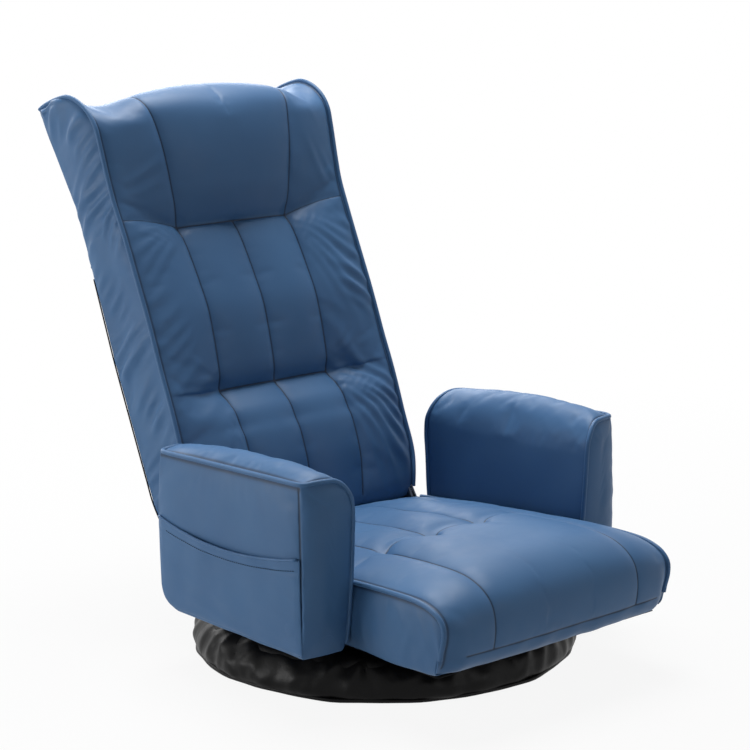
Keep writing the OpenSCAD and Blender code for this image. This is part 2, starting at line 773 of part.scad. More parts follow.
// Ratchet teeth: each has a steep side that the pawl pushes on and a sloped side it rides over
tooth_shares = [[-0.42, 0], [-0.3, 1], [-0.08, 1], [0.28, 0]];
tooth_phase = pawl_tip_turn - 0.02 * pitch;
module ratchet_wheel() {
    polygon([for (i = [0 : tooth_count - 1], p = tooth_shares)
        let (
            a = tooth_phase + pitch * (i + 0.5 + p[0]),
            r = tooth_r - tooth_depth * (1 - p[1])
        )
        [r * cos(a), r * sin(a)]]);
}
gear_arm_s = 48;
gear_arm_w = 11;
module gear_arm() {
    // Arm from the hub to the back's side tube, in the chair's frame
    tube_at = on_back(0, gear_arm_s, -back_tube_w);
    tube_far = on_back(0, gear_arm_s + 5 * tube_r, -back_tube_w);
    place = [tube_at[1] - pivot_y, tube_at[2] - pivot_z];
    far = [tube_far[1] - pivot_y, tube_far[2] - pivot_z];
    hull() {
        circle(gear_arm_w);
        translate(place) circle(tube_r);
    }
    hull() {
        translate(place) circle(tube_r);
        translate(far) circle(tube_r);
    }
}
module hinge_gear() {
    color(steel)
        at_hinge(gear_x)
            difference() {
                union() {
                    linear_extrude(gear_t) ratchet_wheel();
                    linear_extrude(gear_t) gear_arm();
                }
                translate([0, 0, -over]) cylinder(h = gear_t + 2 * over, r = pin_r + run_gap);
            }
}
// Pawl at rest, lifted just clear of the teeth
function tip_place(r) = [r * cos(pawl_tip_turn), r * sin(pawl_tip_turn)];
pawl_tip_w = 1;
pawl_root_w = 3.2;
module pawl() {
    tip = tip_place(tooth_r + pawl_lift);
    line = tip - pawl_pin_at;
    length = norm(line);
    turn = atan2(line[1], line[0]);
    color(dark_steel)
        at_hinge(gear_x)
            translate([pawl_pin_at[0], pawl_pin_at[1], 0])
                difference() {
                    union() {
                        cylinder(h = gear_t, r = pawl_boss_r);
                        rotate([0, 0, turn])
                            linear_extrude(gear_t)
                                polygon([
                                    [0, pawl_boss_r - 2 * pawl_tip_w],
                                    [length - pawl_root_w - 2 * pawl_tip_w, 0],
                                    [length - pawl_root_w, -pawl_tip_w],
                                    [length - pawl_tip_w / 2, 0],
                                    [length + pawl_tip_w / 2, 0],
                                    [length + pawl_tip_w, -pawl_root_w],
                                    [length - pawl_root_w, -1.5 * pawl_root_w],
                                    [0, 2 * pawl_tip_w - pawl_boss_r]
                                ]);
                    }
                    translate([0, 0, -over])
                        cylinder(h = gear_t + 2 * over, r = pawl_pin_r + run_gap);
                }
}
spring_t = 0.8;
spring_w = 3;
spring_foot_y = 4;
spring_foot_z = 12;
spring_tip_y = 2;
spring_tip_z = 1.2;
spring_bow = 4;
module pawl_spring() {
    tip = tip_place(tooth_r + pawl_lift);
    start = [pawl_pin_at[0] - spring_foot_y, pawl_pin_at[1] - pawl_boss_r - spring_foot_z];
    stop = [tip[0] - spring_tip_y, tip[1] - 2 * pawl_root_w - spring_tip_z];
    steps = 8;
    line = [for (i = [0 : steps])
        let (t = i / steps)
        [mix(start[0], stop[0], t), mix(start[1], stop[1], t) - spring_bow * hump(t)]];
    color(steel)
        at_hinge(gear_x + (gear_t - spring_w) / 2) {
            linear_extrude(spring_w)
                polygon(concat(line, [for (i = [steps : -1 : 0]) line[i] - [0, spring_t]]));
            translate([start[0], start[1] - spring_t / 2, -(gear_t - spring_w) / 2 - gap])
                cylinder(h = gear_t + 2 * gap, r = spring_w / 2);
        }
}
// Cloth that closes the wedge behind the seat and under the back
gusset_bow = 9;
gusset_apex_in = 7;
gusset_apex_y = 2;
gusset_lean_share = 0.4;
module hinge_gusset() {
    a = [seat_end + gap + gusset_lean_share * cloth_t, seat_floor];
    c3 = on_back(0, back_end_gap - gap - cloth_t, -back_rear);
    c = [c3[1], c3[2]];
    apex3 = on_back(0, back_end_gap - gap, -gusset_apex_in);
    apex = [apex3[1] + gusset_apex_y, apex3[2] - gusset_apex_in];
    bow = gusset_bow;
    steps = 6;
    out = [for (i = [0 : steps])
        let (t = i / steps)
        [mix(a[0], c[0], t) + 0.5 * bow * hump(t), mix(a[1], c[1], t) - bow * hump(t)]];
    inner = [for (i = [steps : -1 : 0]) out[i] + [-gusset_lean_share * cloth_t, cloth_t]];
    side_x = seat_half - 2 * over;
    color(black) {
        translate([-side_x, 0, 0])
            rotate([90, 0, 90])
                linear_extrude(2 * side_x)
                    polygon(concat(out, inner));
        for (x = [-side_x, side_x - cloth_t])
            translate([x, 0, 0])
                rotate([90, 0, 90])
                    linear_extrude(cloth_t)
                        polygon(concat([apex, [a[0], apex[1]]], out));
    }
}

// Back structure, drawn flat and stood up at the hinge
module back_frame() {
    color(dark_steel)
        place_on_back()
            translate([0, 0, -back_tube_w])
                mirror([0, 1, 0])
                    bent_tube(back_tube_x, -gear_arm_s - 2 * tube_r, -back_len + 4.4 * tube_r,
                        tube_r, tube_wall, bend_r);
}
back_cross_shares = [0.18, 0.43, 0.7];
module back_cross_bars() {
    color(dark_steel)
        place_on_back()
            for (k = back_cross_shares)
                translate([0, k * back_len, -back_tube_w])
                    cross_tube(back_tube_x - tube_r, tube_r * 0.8, tube_wall);
}
back_strap_shares = [0.14, 0.24, 0.34, 0.5, 0.6, 0.8];
module back_webbing() {
    color(web)
        place_on_back()
            for (k = back_strap_shares)
                translate([-gear_x, k * back_len - strap_w / 2, -back_tube_w + tube_r])
                    cube([2 * gear_x, strap_w, strap_t]);
}

// Back cushion: depths of the sewn seams, the side piping and the rear face along the back
back_t = back_front + back_rear;
// Each row: share of the length, depth of the long seams, depth of the piping, as shares of the thickness
back_front_shares = [
    [0.006, 0.22, 0.24], [0.025, 0.25, 0.25], [0.06, 0.3, 0.27], [0.12, 0.37, 0.275], [0.181, 0.385, 0.28],
    [0.21, 0.345, 0.29], [0.243, 0.31, 0.3], [0.272, 0.21, 0.305], [0.302, 0.1, 0.305], [0.33, 0.16, 0.3],
    [0.36, 0.21, 0.295],
    [0.42, 0.275, 0.3], [0.48, 0.31, 0.3], [0.543, 0.27, 0.285], [0.605, 0.21, 0.27], [0.645, 0.15, 0.26],
    [0.67, 0.105, 0.252], [0.695, 0.16, 0.245], [0.72, 0.235, 0.243], [0.763, 0.33, 0.26], [0.81, 0.42, 0.29],
    [0.858, 0.48, 0.33], [0.907, 0.51, 0.345], [0.94, 0.485, 0.27], [0.97, 0.4, 0.1], [0.99, 0.25, -0.1],
    [1, 0.05, -0.3]
];
lumbar_share = 0.302;
head_seam_share = 0.67;
back_end_shares = [[1, -0.25], [1.002, -0.6], [1, -0.91]];
back_rear_shares = [
    [0.006, 0], [0.18, 0.04], [0.42, 0.07], [0.64, 0.02], [0.77, -0.03], [0.87, 0.08], [1, 0.19]
];
function rear_w(s) = -back_rear - back_t * lookup(s / back_len, back_rear_shares);
function seam_w(s) = back_t * lookup(s / back_len, [for (p = back_front_shares) [p[0], p[1]]]);
function piping_w(s) = back_t * lookup(s / back_len, [for (p = back_front_shares) [p[0], p[2]]]);
function seam_x(s) = s < head_seam_share * back_len ? back_seam_x
    : mix(back_seam_x, head_seam_x, (s / back_len - head_seam_share) / (0.94 - head_seam_share));
function panel_swell(s, u) =
    let (k = s / back_len)
    k > head_seam_share ? head_swell * (1 - u * u) * smooth((k - head_seam_share) / 0.09)
    : k > lumbar_share
        ? channel_swell * hump(u) * hump((k - lumbar_share) / (head_seam_share - lumbar_share) * 0.94 + 0.03)
        : channel_swell * 0.8 * hump(u) * smooth((lumbar_share - k) / 0.09) * smooth(k / 0.15);
// The lower edge rounds back over the crevice, and more so at its two corners
toe_round = 8;
toe_len = 26;
toe_s = 20;
corner_drop = 24;
corner_len = 28;
corner_w = 24;
function back_surface(x, s) =
    let (
        ax = abs(x),
        xs = seam_x(s),
        u = clamp01((ax - xs) / (back_half - xs)),
        toe = toe_round * pow(clamp01((toe_s - s) / toe_len), 2),
        edge = pow(clamp01((ax - back_half + corner_w) / corner_w), 2),
        drop = toe + corner_drop * exp(-max(s, 0) / corner_len) * edge
    )
    (ax <= xs
        ? seam_w(s) + panel_swell(s, ax / xs)
        : mix(seam_w(s), piping_w(s), smooth(u)) + bolster_swell * hump(u) * smooth(s / back_len / 0.2)) - drop;
function back_core(x, s) = min(back_surface(x, s), s * tan(back_fold) - over);
function flare(s) = 1 + head_flare / back_half * smooth((s / back_len - 0.6) / 0.4);
back_station_shares = [0, 0.1, 0.24, 0.38, 0.45, 0.486, 0.53, 0.64];
back_x = both_sides(concat([for (k = back_station_shares) k * back_half], edge_stations(back_half)));
back_end_gap = 4;
back_pocket_low = 24;
back_cavity_share = 0.957;
back_fit_share = 0.12;
function back_loop(x) =
    let (
        low = in_slot(x) ? hinge_slot : back_end_gap,
        inset = draw_in(x, back_half),
        fit = back_fit_share * back_len,
        run = [for (p = back_front_shares)
            let (s = p[0] * back_len)
            s < fit ? mix(low, fit, (s - 0.006 * back_len) / (fit - 0.006 * back_len)) : s],
        front = [for (s = run) [s - (s > 0.9 * back_len ? inset : 0), back_core(x, s) - inset]],
        end = [for (p = back_end_shares) [back_len * p[0] - inset, back_t * p[1]]],
        upper = [for (k = [0.93, 0.87, 0.82, 0.77, 0.7]) [k * back_len, rear_w(k * back_len) + inset]],
        lip = rear_cloth_len,
        holed = in_pocket(x),
        bed = -back_tube_w + tube_r + strap_t + over,
        wall = -back_tube_w - tube_r - over,
        top = holed ? back_cavity_share * back_len : lip + 12 * over,
        floor_s = max(back_pocket_low, low + 6 * over),
        flat = rear_w(lip) + cloth_t + inset,
        cavity = in_slot(x)
            ? [[lip, wall], [top - over, wall], [top, bed], [low + 4 * over, bed],
                [low + 2 * over, bed + over]]
            : holed
            ? [[lip, wall], [top - over, wall], [top, bed], [floor_s, bed],
                [floor_s - over, rear_w(floor_s) + cloth_t]]
            : [[lip, flat], [lip * 0.8, rear_w(lip * 0.8) + cloth_t + inset],
                [lip * 0.55, rear_w(lip * 0.55) + cloth_t + inset],
                [lip * 0.3, rear_w(lip * 0.3) + cloth_t + inset],
                [floor_s, rear_w(floor_s) + cloth_t + inset]],
        last = in_slot(x) ? [low, bed + 2 * over] : [low, rear_w(low) + cloth_t + inset],
        rear = concat([[lip + over, rear_w(lip) + inset]], cavity, [last])
    )
    [for (p = concat(front, end, upper, rear)) on_back(x * flare(p[0]), p[0], p[1])];
module back_cushion() {
    color(blue) skin([for (i = [len(back_x) - 1 : -1 : 0]) back_loop(back_x[i])], -end_dome);
}
// Soft roll of foam and cover above the crevice, squeezed when the back folds down
back_roll_shares = [-0.005, 0.02, 0.067, 0.12, 0.181, 0.21];
// Stations of the roll, drawn towards the slot's end beside the hinges
function roll_run(shares, first, fit) =
    [for (t = shares) t < fit ? mix(first, fit, (t - shares[0]) / (fit - shares[0])) : t];
function back_roll_loop(x) =
    let (
        inset = draw_in(x, back_half),
        first = in_slot(x) ? hinge_room / back_len : back_roll_shares[0],
        run = [for (k = roll_run(back_roll_shares, first, back_fit_share)) k * back_len],
        roll_top = [for (s = run) max(back_surface(x, s) - inset, back_core(x, s) + over)]
    )
    [for (p = concat(
        [for (s = run) [s, back_core(x, s) + gap]],
        [for (i = [len(run) - 1 : -1 : 0]) [run[i], roll_top[i]]]
    )) on_back(x, p[0], p[1])];
module back_lower_roll() {
    color(blue) skin([for (i = [len(back_x) - 1 : -1 : 0]) back_roll_loop(back_x[i])], -0.5 * end_dome, true);
}
module back_rear_cloth() {
    steps = 12;
    run = [for (i = [0 : steps]) mix(back_end_gap, rear_cloth_len, i / steps)];
    outline = concat([for (s = run) [s, rear_w(s)]],
        [for (i = [steps : -1 : 0]) [run[i], rear_w(run[i]) + cloth_t - run_gap]]);
    half = hinge_slot_out + slope_run;
    color(black)
        place_on_back()
            translate([-half, 0, 0])
                rotate([90, 0, 90])
                    linear_extrude(2 * half)
                        polygon(outline);
}

base_bottom_cloth();
base_ring();
base_cross_bars();
base_foam();
base_cover();
swivel_lower_plate();
swivel_lower_bolts();
swivel_pin();
ball_cage();
swivel_balls();
swivel_upper_plate();
seat_rails();
seat_rail_bolts();
seat_bottom_cloth();
seat_frame();
seat_cross_bars();
seat_webbing();
seat_cushion();
arm_frame();  // arm_frame_left
mirror([1, 0, 0]) arm_frame();  // arm_frame_right
arm_brackets();
arm_bracket_bolts();
arm_pad();  // arm_pad_left
mirror([1, 0, 0]) arm_pad();  // arm_pad_right
arm_pocket();  // arm_pocket_left
mirror([1, 0, 0]) arm_pocket();  // arm_pocket_right
hinge_inner_plate();  // hinge_inner_plate_left
mirror([1, 0, 0]) hinge_inner_plate();  // hinge_inner_plate_right
hinge_outer_plate();  // hinge_outer_plate_left
mirror([1, 0, 0]) hinge_outer_plate();  // hinge_outer_plate_right
hinge_pin();  // hinge_pin_left
mirror([1, 0, 0]) hinge_pin();  // hinge_pin_right
pawl_pin();  // pawl_pin_left
mirror([1, 0, 0]) pawl_pin();  // pawl_pin_right
pawl_spring();  // pawl_spring_left
mirror([1, 0, 0]) pawl_spring();  // pawl_spring_right
pawl();  // pawl_left
mirror([1, 0, 0]) pawl();  // pawl_right
hinge_gear();  // hinge_gear_left
mirror([1, 0, 0]) hinge_gear();  // hinge_gear_right
hinge_gusset();
back_frame();
back_cross_bars();
back_webbing();
back_cushion();
back_lower_roll();
back_rear_cloth();
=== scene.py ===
import json
import math
import bpy
import bmesh
import numpy as np
from mathutils import Matrix, Vector


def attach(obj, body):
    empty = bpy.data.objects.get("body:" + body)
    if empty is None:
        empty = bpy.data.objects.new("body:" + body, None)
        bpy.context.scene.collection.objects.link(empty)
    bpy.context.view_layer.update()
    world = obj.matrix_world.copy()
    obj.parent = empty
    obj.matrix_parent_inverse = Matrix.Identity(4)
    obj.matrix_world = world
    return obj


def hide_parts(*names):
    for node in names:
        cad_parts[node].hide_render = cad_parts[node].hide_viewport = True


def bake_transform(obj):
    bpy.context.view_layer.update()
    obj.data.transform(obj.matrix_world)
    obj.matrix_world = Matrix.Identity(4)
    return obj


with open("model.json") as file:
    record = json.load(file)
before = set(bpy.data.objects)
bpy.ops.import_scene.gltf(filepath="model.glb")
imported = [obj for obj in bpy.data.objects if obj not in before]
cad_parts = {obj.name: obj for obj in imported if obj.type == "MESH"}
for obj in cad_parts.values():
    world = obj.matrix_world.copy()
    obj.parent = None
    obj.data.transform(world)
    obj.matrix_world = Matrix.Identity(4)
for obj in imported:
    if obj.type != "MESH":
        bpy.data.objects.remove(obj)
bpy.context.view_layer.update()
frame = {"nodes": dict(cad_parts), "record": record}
print("frame loaded:", len(frame["nodes"]), "nodes")

mm = 0.001
perSpan = 16  # points that a curve gets between two of its own
scene = bpy.context.scene


def ease(value, start=0.0, length=1.0):
    # smooth rise from 0 at start to 1 a length further on; with a negative length it runs the other way
    value = np.clip((value - start) / length, 0, 1)
    return value * value * (3 - 2 * value)


def arch(value):
    # 0 at both ends of the run from 0 to 1, and 1 in its middle
    return np.sin(math.pi * value)


def bell(value):
    return np.exp(-value ** 2)


def splineThrough(points):
    p = np.array(points, float)
    ends = np.vstack([2 * p[0] - p[1], p, 2 * p[-1] - p[-2]])
    t = np.linspace(0, 1, perSpan, endpoint=False)[:, None]
    out = []
    for i in range(len(p) - 1):
        a, b, c, d = ends[i:i + 4]
        out.append(0.5 * (2 * b + (c - a) * t + (2 * a - 5 * b + 4 * c - d) * t ** 2
                          + (3 * b - a - 3 * c + d) * t ** 3))
    return np.vstack(out + [p[-1:]])


def evenly(points, count):
    dense = splineThrough(points)
    run = np.r_[0, np.cumsum(np.linalg.norm(np.diff(dense, axis=0), axis=1))]
    at = np.linspace(0, run[-1], count)
    return np.stack([np.interp(at, run, dense[:, k]) for k in range(dense.shape[1])], 1)


def spaced(start, stop, cell, tight):
    # even steps, with a narrow one beside each end so that a sewn groove stays thin
    n = max(2, round((stop - start - 2 * tight) / cell))
    return np.r_[start, np.linspace(start + tight, stop - tight, n + 1), stop]


def stationsThrough(rows, cell, keys, tight):
    # samples a table of rows, and lands on the rows named in keys
    dense = splineThrough(rows)
    run = np.r_[0, np.cumsum(np.linalg.norm(np.diff(dense[:, :2], axis=0), axis=1))]
    marks = [0] + [k * perSpan for k in keys] + [len(dense) - 1]
    at, hits = [run[:1]], []
    for a, b in zip(marks[:-1], marks[1:]):
        at.append(spaced(run[a], run[b], cell, tight)[1:])
        hits.append(sum(len(x) for x in at) - 1)
    at = np.concatenate(at)
    table = np.stack([np.interp(at, run, dense[:, k]) for k in range(dense.shape[1])], 1)
    return table, at, hits[:-1]


def waves(x, y, seed, size, count=6):
    # smooth uneven field from a few crossing waves, from about -1 to 1
    r = np.random.default_rng(seed)
    total = 0
    for _ in range(count):
        turn, k = r.uniform(0, 2 * math.pi), r.uniform(0.6, 1.7) * 2 * math.pi / size
        total = total + np.sin(k * (x * math.cos(turn) + y * math.sin(turn)) + r.uniform(0, 2 * math.pi))
    return total / math.sqrt(count) / 1.2


def pulls(x, y, turn, spacing, seed, sharp=1.6):
    # rounded folds that run along the direction turn, uneven in strength and spacing, from 0 to 1
    along = x * math.cos(turn) + y * math.sin(turn)
    across = -x * math.sin(turn) + y * math.cos(turn)
    phase = across / spacing + 0.5 * waves(along * 0.5, across, seed, spacing * 6)
    ridge = (0.5 + 0.5 * np.cos(2 * math.pi * phase)) ** sharp
    strength = 0.45 + 0.75 * waves(along * 0.6, across, seed + 5, spacing * 4)
    return ridge * np.clip(strength, 0, 1.3)


# the folds of a fan meet this far outside the sewn corner, and start some way from where they meet
fanRoot = {"x": 16, "y": 6, "start": 14, "grow": 24}


def fan(x, y, look, seed):
    # folds that spread from a sewn corner at the origin, between two directions below level, from 0 to 1
    start, stop, count, reach = look
    dx, dy = x + fanRoot["x"], -(y - fanRoot["y"])
    turn, far = np.degrees(np.arctan2(dy, dx)), np.hypot(dx, dy)
    share = (turn - start) / (stop - start)
    phase = share * count + 0.3 * waves(turn, far * 0.4, seed, 50)
    ridge = (0.5 + 0.5 * np.cos(2 * math.pi * phase)) ** 1.5
    window = arch(np.clip(share, 0, 1)) ** 0.5
    return ridge * window * ease(far, fanRoot["start"], fanRoot["grow"]) * bell(far / reach)


def tidyNormals(obj):
    bm = bmesh.new()
    bm.from_mesh(obj.data)
    bmesh.ops.recalc_face_normals(bm, faces=bm.faces)
    bm.to_mesh(obj.data)
    bm.free()
    obj.data.update()


def newObject(name, points, faces, smooth=True):
    mesh = bpy.data.meshes.new(name)
    mesh.from_pydata([tuple(p) for p in points], [], faces)
    mesh.update()
    obj = bpy.data.objects.new(name, mesh)
    scene.collection.objects.link(obj)
    mesh.polygons.foreach_set("use_smooth", [smooth] * len(mesh.polygons))
    tidyNormals(obj)
    return obj


def ringFaces(n, m, closed=True):
    # quads between n rows of m points
    faces = []
    for i in range(n - 1):
        for j in range(m if closed else m - 1):
            k = (j + 1) % m
            faces.append((i * m + j, i * m + k, (i + 1) * m + k, (i + 1) * m + j))
    return faces


def joinEnds(n, m):
    # quads from the last ring back to the first
    last = (n - 1) * m
    return [(last + j, last + (j + 1) % m, (j + 1) % m, j) for j in range(m)]


def bridgeCap(base, front, side):
    # closes a ring of front + side + front + side cells with quads between its long runs
    m = 2 * (front + side)
    faces = []
    for j in range(front):
        far = base + 2 * front + side - j
        faces.append((base + j, base + j + 1, far - 1, far))
    faces.append(tuple(base + k for k in range(front, front + side + 1)))
    faces.append(tuple(base + k % m for k in range(2 * front + side, m + 1)))
    return faces


def cushionSkin(name, rings, front, side):
    # closed skin through rings of front + side + front + side cells, its two ends capped
    n, m = rings.shape[:2]
    caps = bridgeCap(0, front, side) + bridgeCap((n - 1) * m, front, side)
    return newObject(name, rings.reshape(-1, 3), ringFaces(n, m) + caps)


def openSheet(name, grid):
    n, m = grid.shape[:2]
    return newObject(name, grid.reshape(-1, 3), ringFaces(n, m, False))


def applyModifiers(obj, subdivide=True, thickness=None, offset=-1.0):
    if thickness:
        solid = obj.modifiers.new("Thickness", "SOLIDIFY")
        solid.thickness, solid.offset = thickness * mm, offset
    if subdivide:
        smooth = obj.modifiers.new("Smooth", "SUBSURF")
        smooth.levels = smooth.render_levels = 1
    mesh = bpy.data.meshes.new_from_object(obj.evaluated_get(bpy.context.evaluated_depsgraph_get()))
    obj.modifiers.clear()
    obj.data = mesh
    return obj


def slopesOf(table):
    # direction of the first two columns along the rows, as unit vectors
    slope = np.gradient(table[:, :2], axis=0)
    return slope / np.linalg.norm(slope, axis=1, keepdims=True)


def heldCells(seam, front, side):
    # how firmly the air leaves each point where it is: seams, corners and the rear face don't move
    held = np.where(seam > 0, 1.0, 0)
    held[:, [0, front, 2 * front + side]] = 1
    held[:, front + side:2 * front + side + 1] = 1
    return held


def sideShares(t, front, side):
    # t on both side panels of a ring, and 0 elsewhere
    across = np.zeros(2 * (front + side))
    across[front + 1:front + side], across[2 * front + side + 1:] = t, t[::-1]
    return across


def seamAttribute(obj, values):
    field = obj.data.attributes.new("seam", "FLOAT", "POINT")
    field.data.foreach_set("value", np.asarray(values, np.float32))


def readField(mesh, label):
    flat = np.empty(len(mesh.vertices) * 3)
    mesh.vertices.foreach_get(label, flat)
    return flat.reshape(-1, 3)


def writePoints(obj, points):
    obj.data.vertices.foreach_set("co", points.ravel())
    obj.data.update()


def pushOut(obj, depth):
    # moves every point along its normal, depth in mm, and returns the points in rows as depth has them
    moved = readField(obj.data, "co") + readField(obj.data, "normal") * depth.reshape(-1, 1) * mm
    writePoints(obj, moved)
    return moved.reshape(*depth.shape, 3)


def seamGroove(seam, deep):
    # the sewn line is sunk, and the cells beside it a little
    near = np.maximum.reduce([np.roll(seam, k, a) for k in (-1, 1) for a in (0, 1)])
    return -deep * np.where(seam > 0.4, seam, 0.3 * (near > 0.4))


def breathe(obj, held, air):
    # fills the cover with air while its seams are held, so that the panels swell and pull as sewn ones do
    group = obj.vertex_groups.new(name="held")
    for weight in np.unique(held[held > 0]):
        group.add(np.nonzero(held == weight)[0].tolist(), float(weight), "REPLACE")
    before = readField(obj.data, "co")
    mod = obj.modifiers.new("Air", "CLOTH")
    cloth = mod.settings
    cloth.quality = 4
    cloth.mass = 0.3
    cloth.use_pressure = True
    cloth.uniform_pressure_force = air["pressure"]
    cloth.tension_stiffness = cloth.compression_stiffness = air["stiffness"]
    cloth.shear_stiffness = air["stiffness"] * 0.6
    cloth.bending_stiffness = air["bending"]
    cloth.vertex_group_mass = "held"
    cloth.pin_stiffness = 20
    cloth.shrink_min = -air["slack"]
    cloth.effector_weights.gravity = 0
    mod.collision_settings.use_collision = False
    mod.point_cache.frame_start = 1
    mod.point_cache.frame_end = air["frames"]
    for step in range(1, air["frames"] + 1):
        scene.frame_set(step)
    done = obj.evaluated_get(bpy.context.evaluated_depsgraph_get()).data
    move = readField(done, "co") - before
    size = np.linalg.norm(move, axis=1, keepdims=True) + 1e-9
    move *= air["cap"] * np.tanh(size / air["cap"]) / size
    print("   moved by air, mm:", [round(float(v), 1) for v in np.percentile(size / mm, (50, 90, 99))])
    obj.modifiers.remove(mod)
    obj.vertex_groups.clear()
    scene.frame_set(1)
    writePoints(obj, before + move)


def linear(hexColour):
    parts = [int(hexColour[k:k + 2], 16) / 255 for k in (1, 3, 5)]
    return tuple(c / 12.92 if c <= 0.04045 else ((c + 0.055) / 1.055) ** 2.4 for c in parts) + (1,)


def addNode(tree, kind, inputs, **settings):
    # an input takes a plain value, or a link where it is given a socket
    node = tree.nodes.new("ShaderNode" + kind)
    for label, value in settings.items():
        setattr(node, label, value)
    return feed(tree, node, inputs)


def feed(tree, node, inputs):
    for label, value in inputs.items():
        if isinstance(value, bpy.types.NodeSocket):
            tree.links.new(value, node.inputs[label])
        else:
            node.inputs[label].default_value = value
    return node


def nodeGroup(name, inputs, outputs):
    group = bpy.data.node_groups.new(name, "ShaderNodeTree")
    for label, value in inputs.items():
        socket = group.interface.new_socket(name=label, in_out="INPUT", socket_type="NodeSocketFloat")
        socket.default_value = value
    for label in outputs:
        group.interface.new_socket(name=label, in_out="OUTPUT", socket_type="NodeSocketFloat")
    return group, group.nodes.new("NodeGroupInput").outputs, group.nodes.new("NodeGroupOutput")


def mathNode(tree, kind, a, b, clamp=False):
    return addNode(tree, "Math", {0: a, 1: b}, operation=kind, use_clamp=clamp).outputs[0]


def mixColour(tree, factor, a, b):
    return addNode(tree, "Mix", {"Factor": factor, 6: a, 7: b}, data_type="RGBA").outputs[2]


def noiseNode(tree, vector, scale, detail=3.0, roughness=0.5):
    values = {"Vector": vector, "Scale": scale, "Detail": detail, "Roughness": roughness}
    return addNode(tree, "TexNoise", values).outputs["Fac"]


def bumpNode(tree, height, strength, distance):
    return addNode(tree, "Bump", {"Strength": strength, "Distance": distance, "Height": height}).outputs[0]


def objectCoords(tree):
    return addNode(tree, "TexCoord", {}).outputs["Object"]


# repeats per metre of each pattern in the leatherette
grainScale = {"pebble": 900, "fine": 420, "crease": 34, "tone": 7}


def makeGrainGroup():
    # fine pebble of the leatherette, its soft creasing and a slow change of tone
    group, given, out = nodeGroup(
        "leatheretteGrain", {"Grain Size": 1.0, "Crease Depth": 0.5}, ("Height", "Tone", "Gloss Mask"))
    coords = objectCoords(group)
    sizing = {0: coords, "Scale": given["Grain Size"]}
    scaled = addNode(group, "VectorMath", sizing, operation="SCALE").outputs[0]
    spots = {"Scale": grainScale["pebble"], "Vector": scaled}
    cells = addNode(group, "TexVoronoi", spots, feature="SMOOTH_F1")
    fine = noiseNode(group, scaled, grainScale["fine"], 2)
    soft = noiseNode(group, coords, grainScale["crease"], 4, 0.55)
    pebble = mathNode(group, "ADD", mathNode(group, "MULTIPLY", cells.outputs["Distance"], 0.10),
                      mathNode(group, "MULTIPLY", fine, 0.12))
    crease = mathNode(group, "MULTIPLY", soft, given["Crease Depth"])
    feed(group, out, {"Height": mathNode(group, "ADD", pebble, crease), "Gloss Mask": soft,
                      "Tone": noiseNode(group, coords, grainScale["tone"], 3)})
    return group


def makeSeamGroup():
    # turns the seam field of a mesh into a thin dark line with a soft shadow beside it
    group, given, out = nodeGroup("seamLine", {"Width": 0.3}, ("Line", "Shadow"))
    field = addNode(group, "Attribute", {}, attribute_name="seam").outputs["Fac"]
    near = mathNode(group, "SUBTRACT", field, mathNode(group, "SUBTRACT", 1.0, given["Width"]))
    line = mathNode(group, "DIVIDE", near, given["Width"], clamp=True)
    feed(group, out, {"Line": mathNode(group, "POWER", line, 0.8),
                      "Shadow": mathNode(group, "POWER", field, 1.3, clamp=True)})
    return group


grainGroup = makeGrainGroup()
seamGroup = makeSeamGroup()


def startMaterial(name):
    material = bpy.data.materials.new(name)
    material.use_nodes = True
    return material, material.node_tree, material.node_tree.nodes["Principled BSDF"]


def leatherette(name, look):
    material, tree, shader = startMaterial(name)
    grain = addNode(tree, "Group", {"Grain Size": look["grain"], "Crease Depth": look["crease"]},
                    node_tree=grainGroup).outputs
    seam = addNode(tree, "Group", {"Width": look["seamWidth"]}, node_tree=seamGroup).outputs
    tone = mixColour(tree, grain["Tone"], linear(look["low"]), linear(look["high"]))
    shadow = mathNode(tree, "MULTIPLY", seam["Shadow"], look["shadow"])
    dark = mixColour(tree, shadow, tone, linear(look["seam"]))
    line = mixColour(tree, mathNode(tree, "MULTIPLY", seam["Line"], 0.9), dark, linear(look["seam"]))
    uneven = mathNode(tree, "MULTIPLY", mathNode(tree, "SUBTRACT", grain["Gloss Mask"], 0.5), 0.25)
    height = mathNode(tree, "SUBTRACT", grain["Height"], mathNode(tree, "MULTIPLY", seam["Line"], 1.2))
    feed(tree, shader, {"Base Color": line, "Roughness": mathNode(tree, "ADD", look["rough"], uneven),
                        "Normal": bumpNode(tree, height, look["bump"], look["bumpHeight"]),
                        "Specular IOR Level": look["specular"]})
    return material


def wovenCloth(name, look):
    material, tree, shader = startMaterial(name)
    coords = objectCoords(tree)
    threads = []
    for turn in (0.0, math.pi / 2):
        spin = addNode(tree, "VectorRotate", {"Angle": turn, "Vector": coords}, rotation_type="Z_AXIS")
        values = {"Scale": look["threads"], "Distortion": 0.4, "Vector": spin.outputs[0]}
        band = addNode(tree, "TexWave", values)
        threads.append(band.outputs["Fac"])
    weave = mathNode(tree, "MULTIPLY", *threads)
    feed(tree, shader, {"Base Color": mixColour(tree, weave, linear(look["low"]), linear(look["high"])),
                        "Normal": bumpNode(tree, weave, 0.5, 0.0006), "Roughness": 0.92,
                        "Specular IOR Level": 0.2})
    return material


def metalFinish(name, look):
    material, tree, shader = startMaterial(name)
    fleck = noiseNode(tree, objectCoords(tree), look["fleck"], 5)
    rough = mathNode(tree, "ADD", look["rough"], mathNode(tree, "MULTIPLY", fleck, 0.15))
    feed(tree, shader, {"Base Color": mixColour(tree, fleck, linear(look["low"]), linear(look["high"])),
                        "Normal": bumpNode(tree, fleck, 0.25, 0.0003), "Roughness": rough,
                        "Metallic": look["metal"]})
    return material


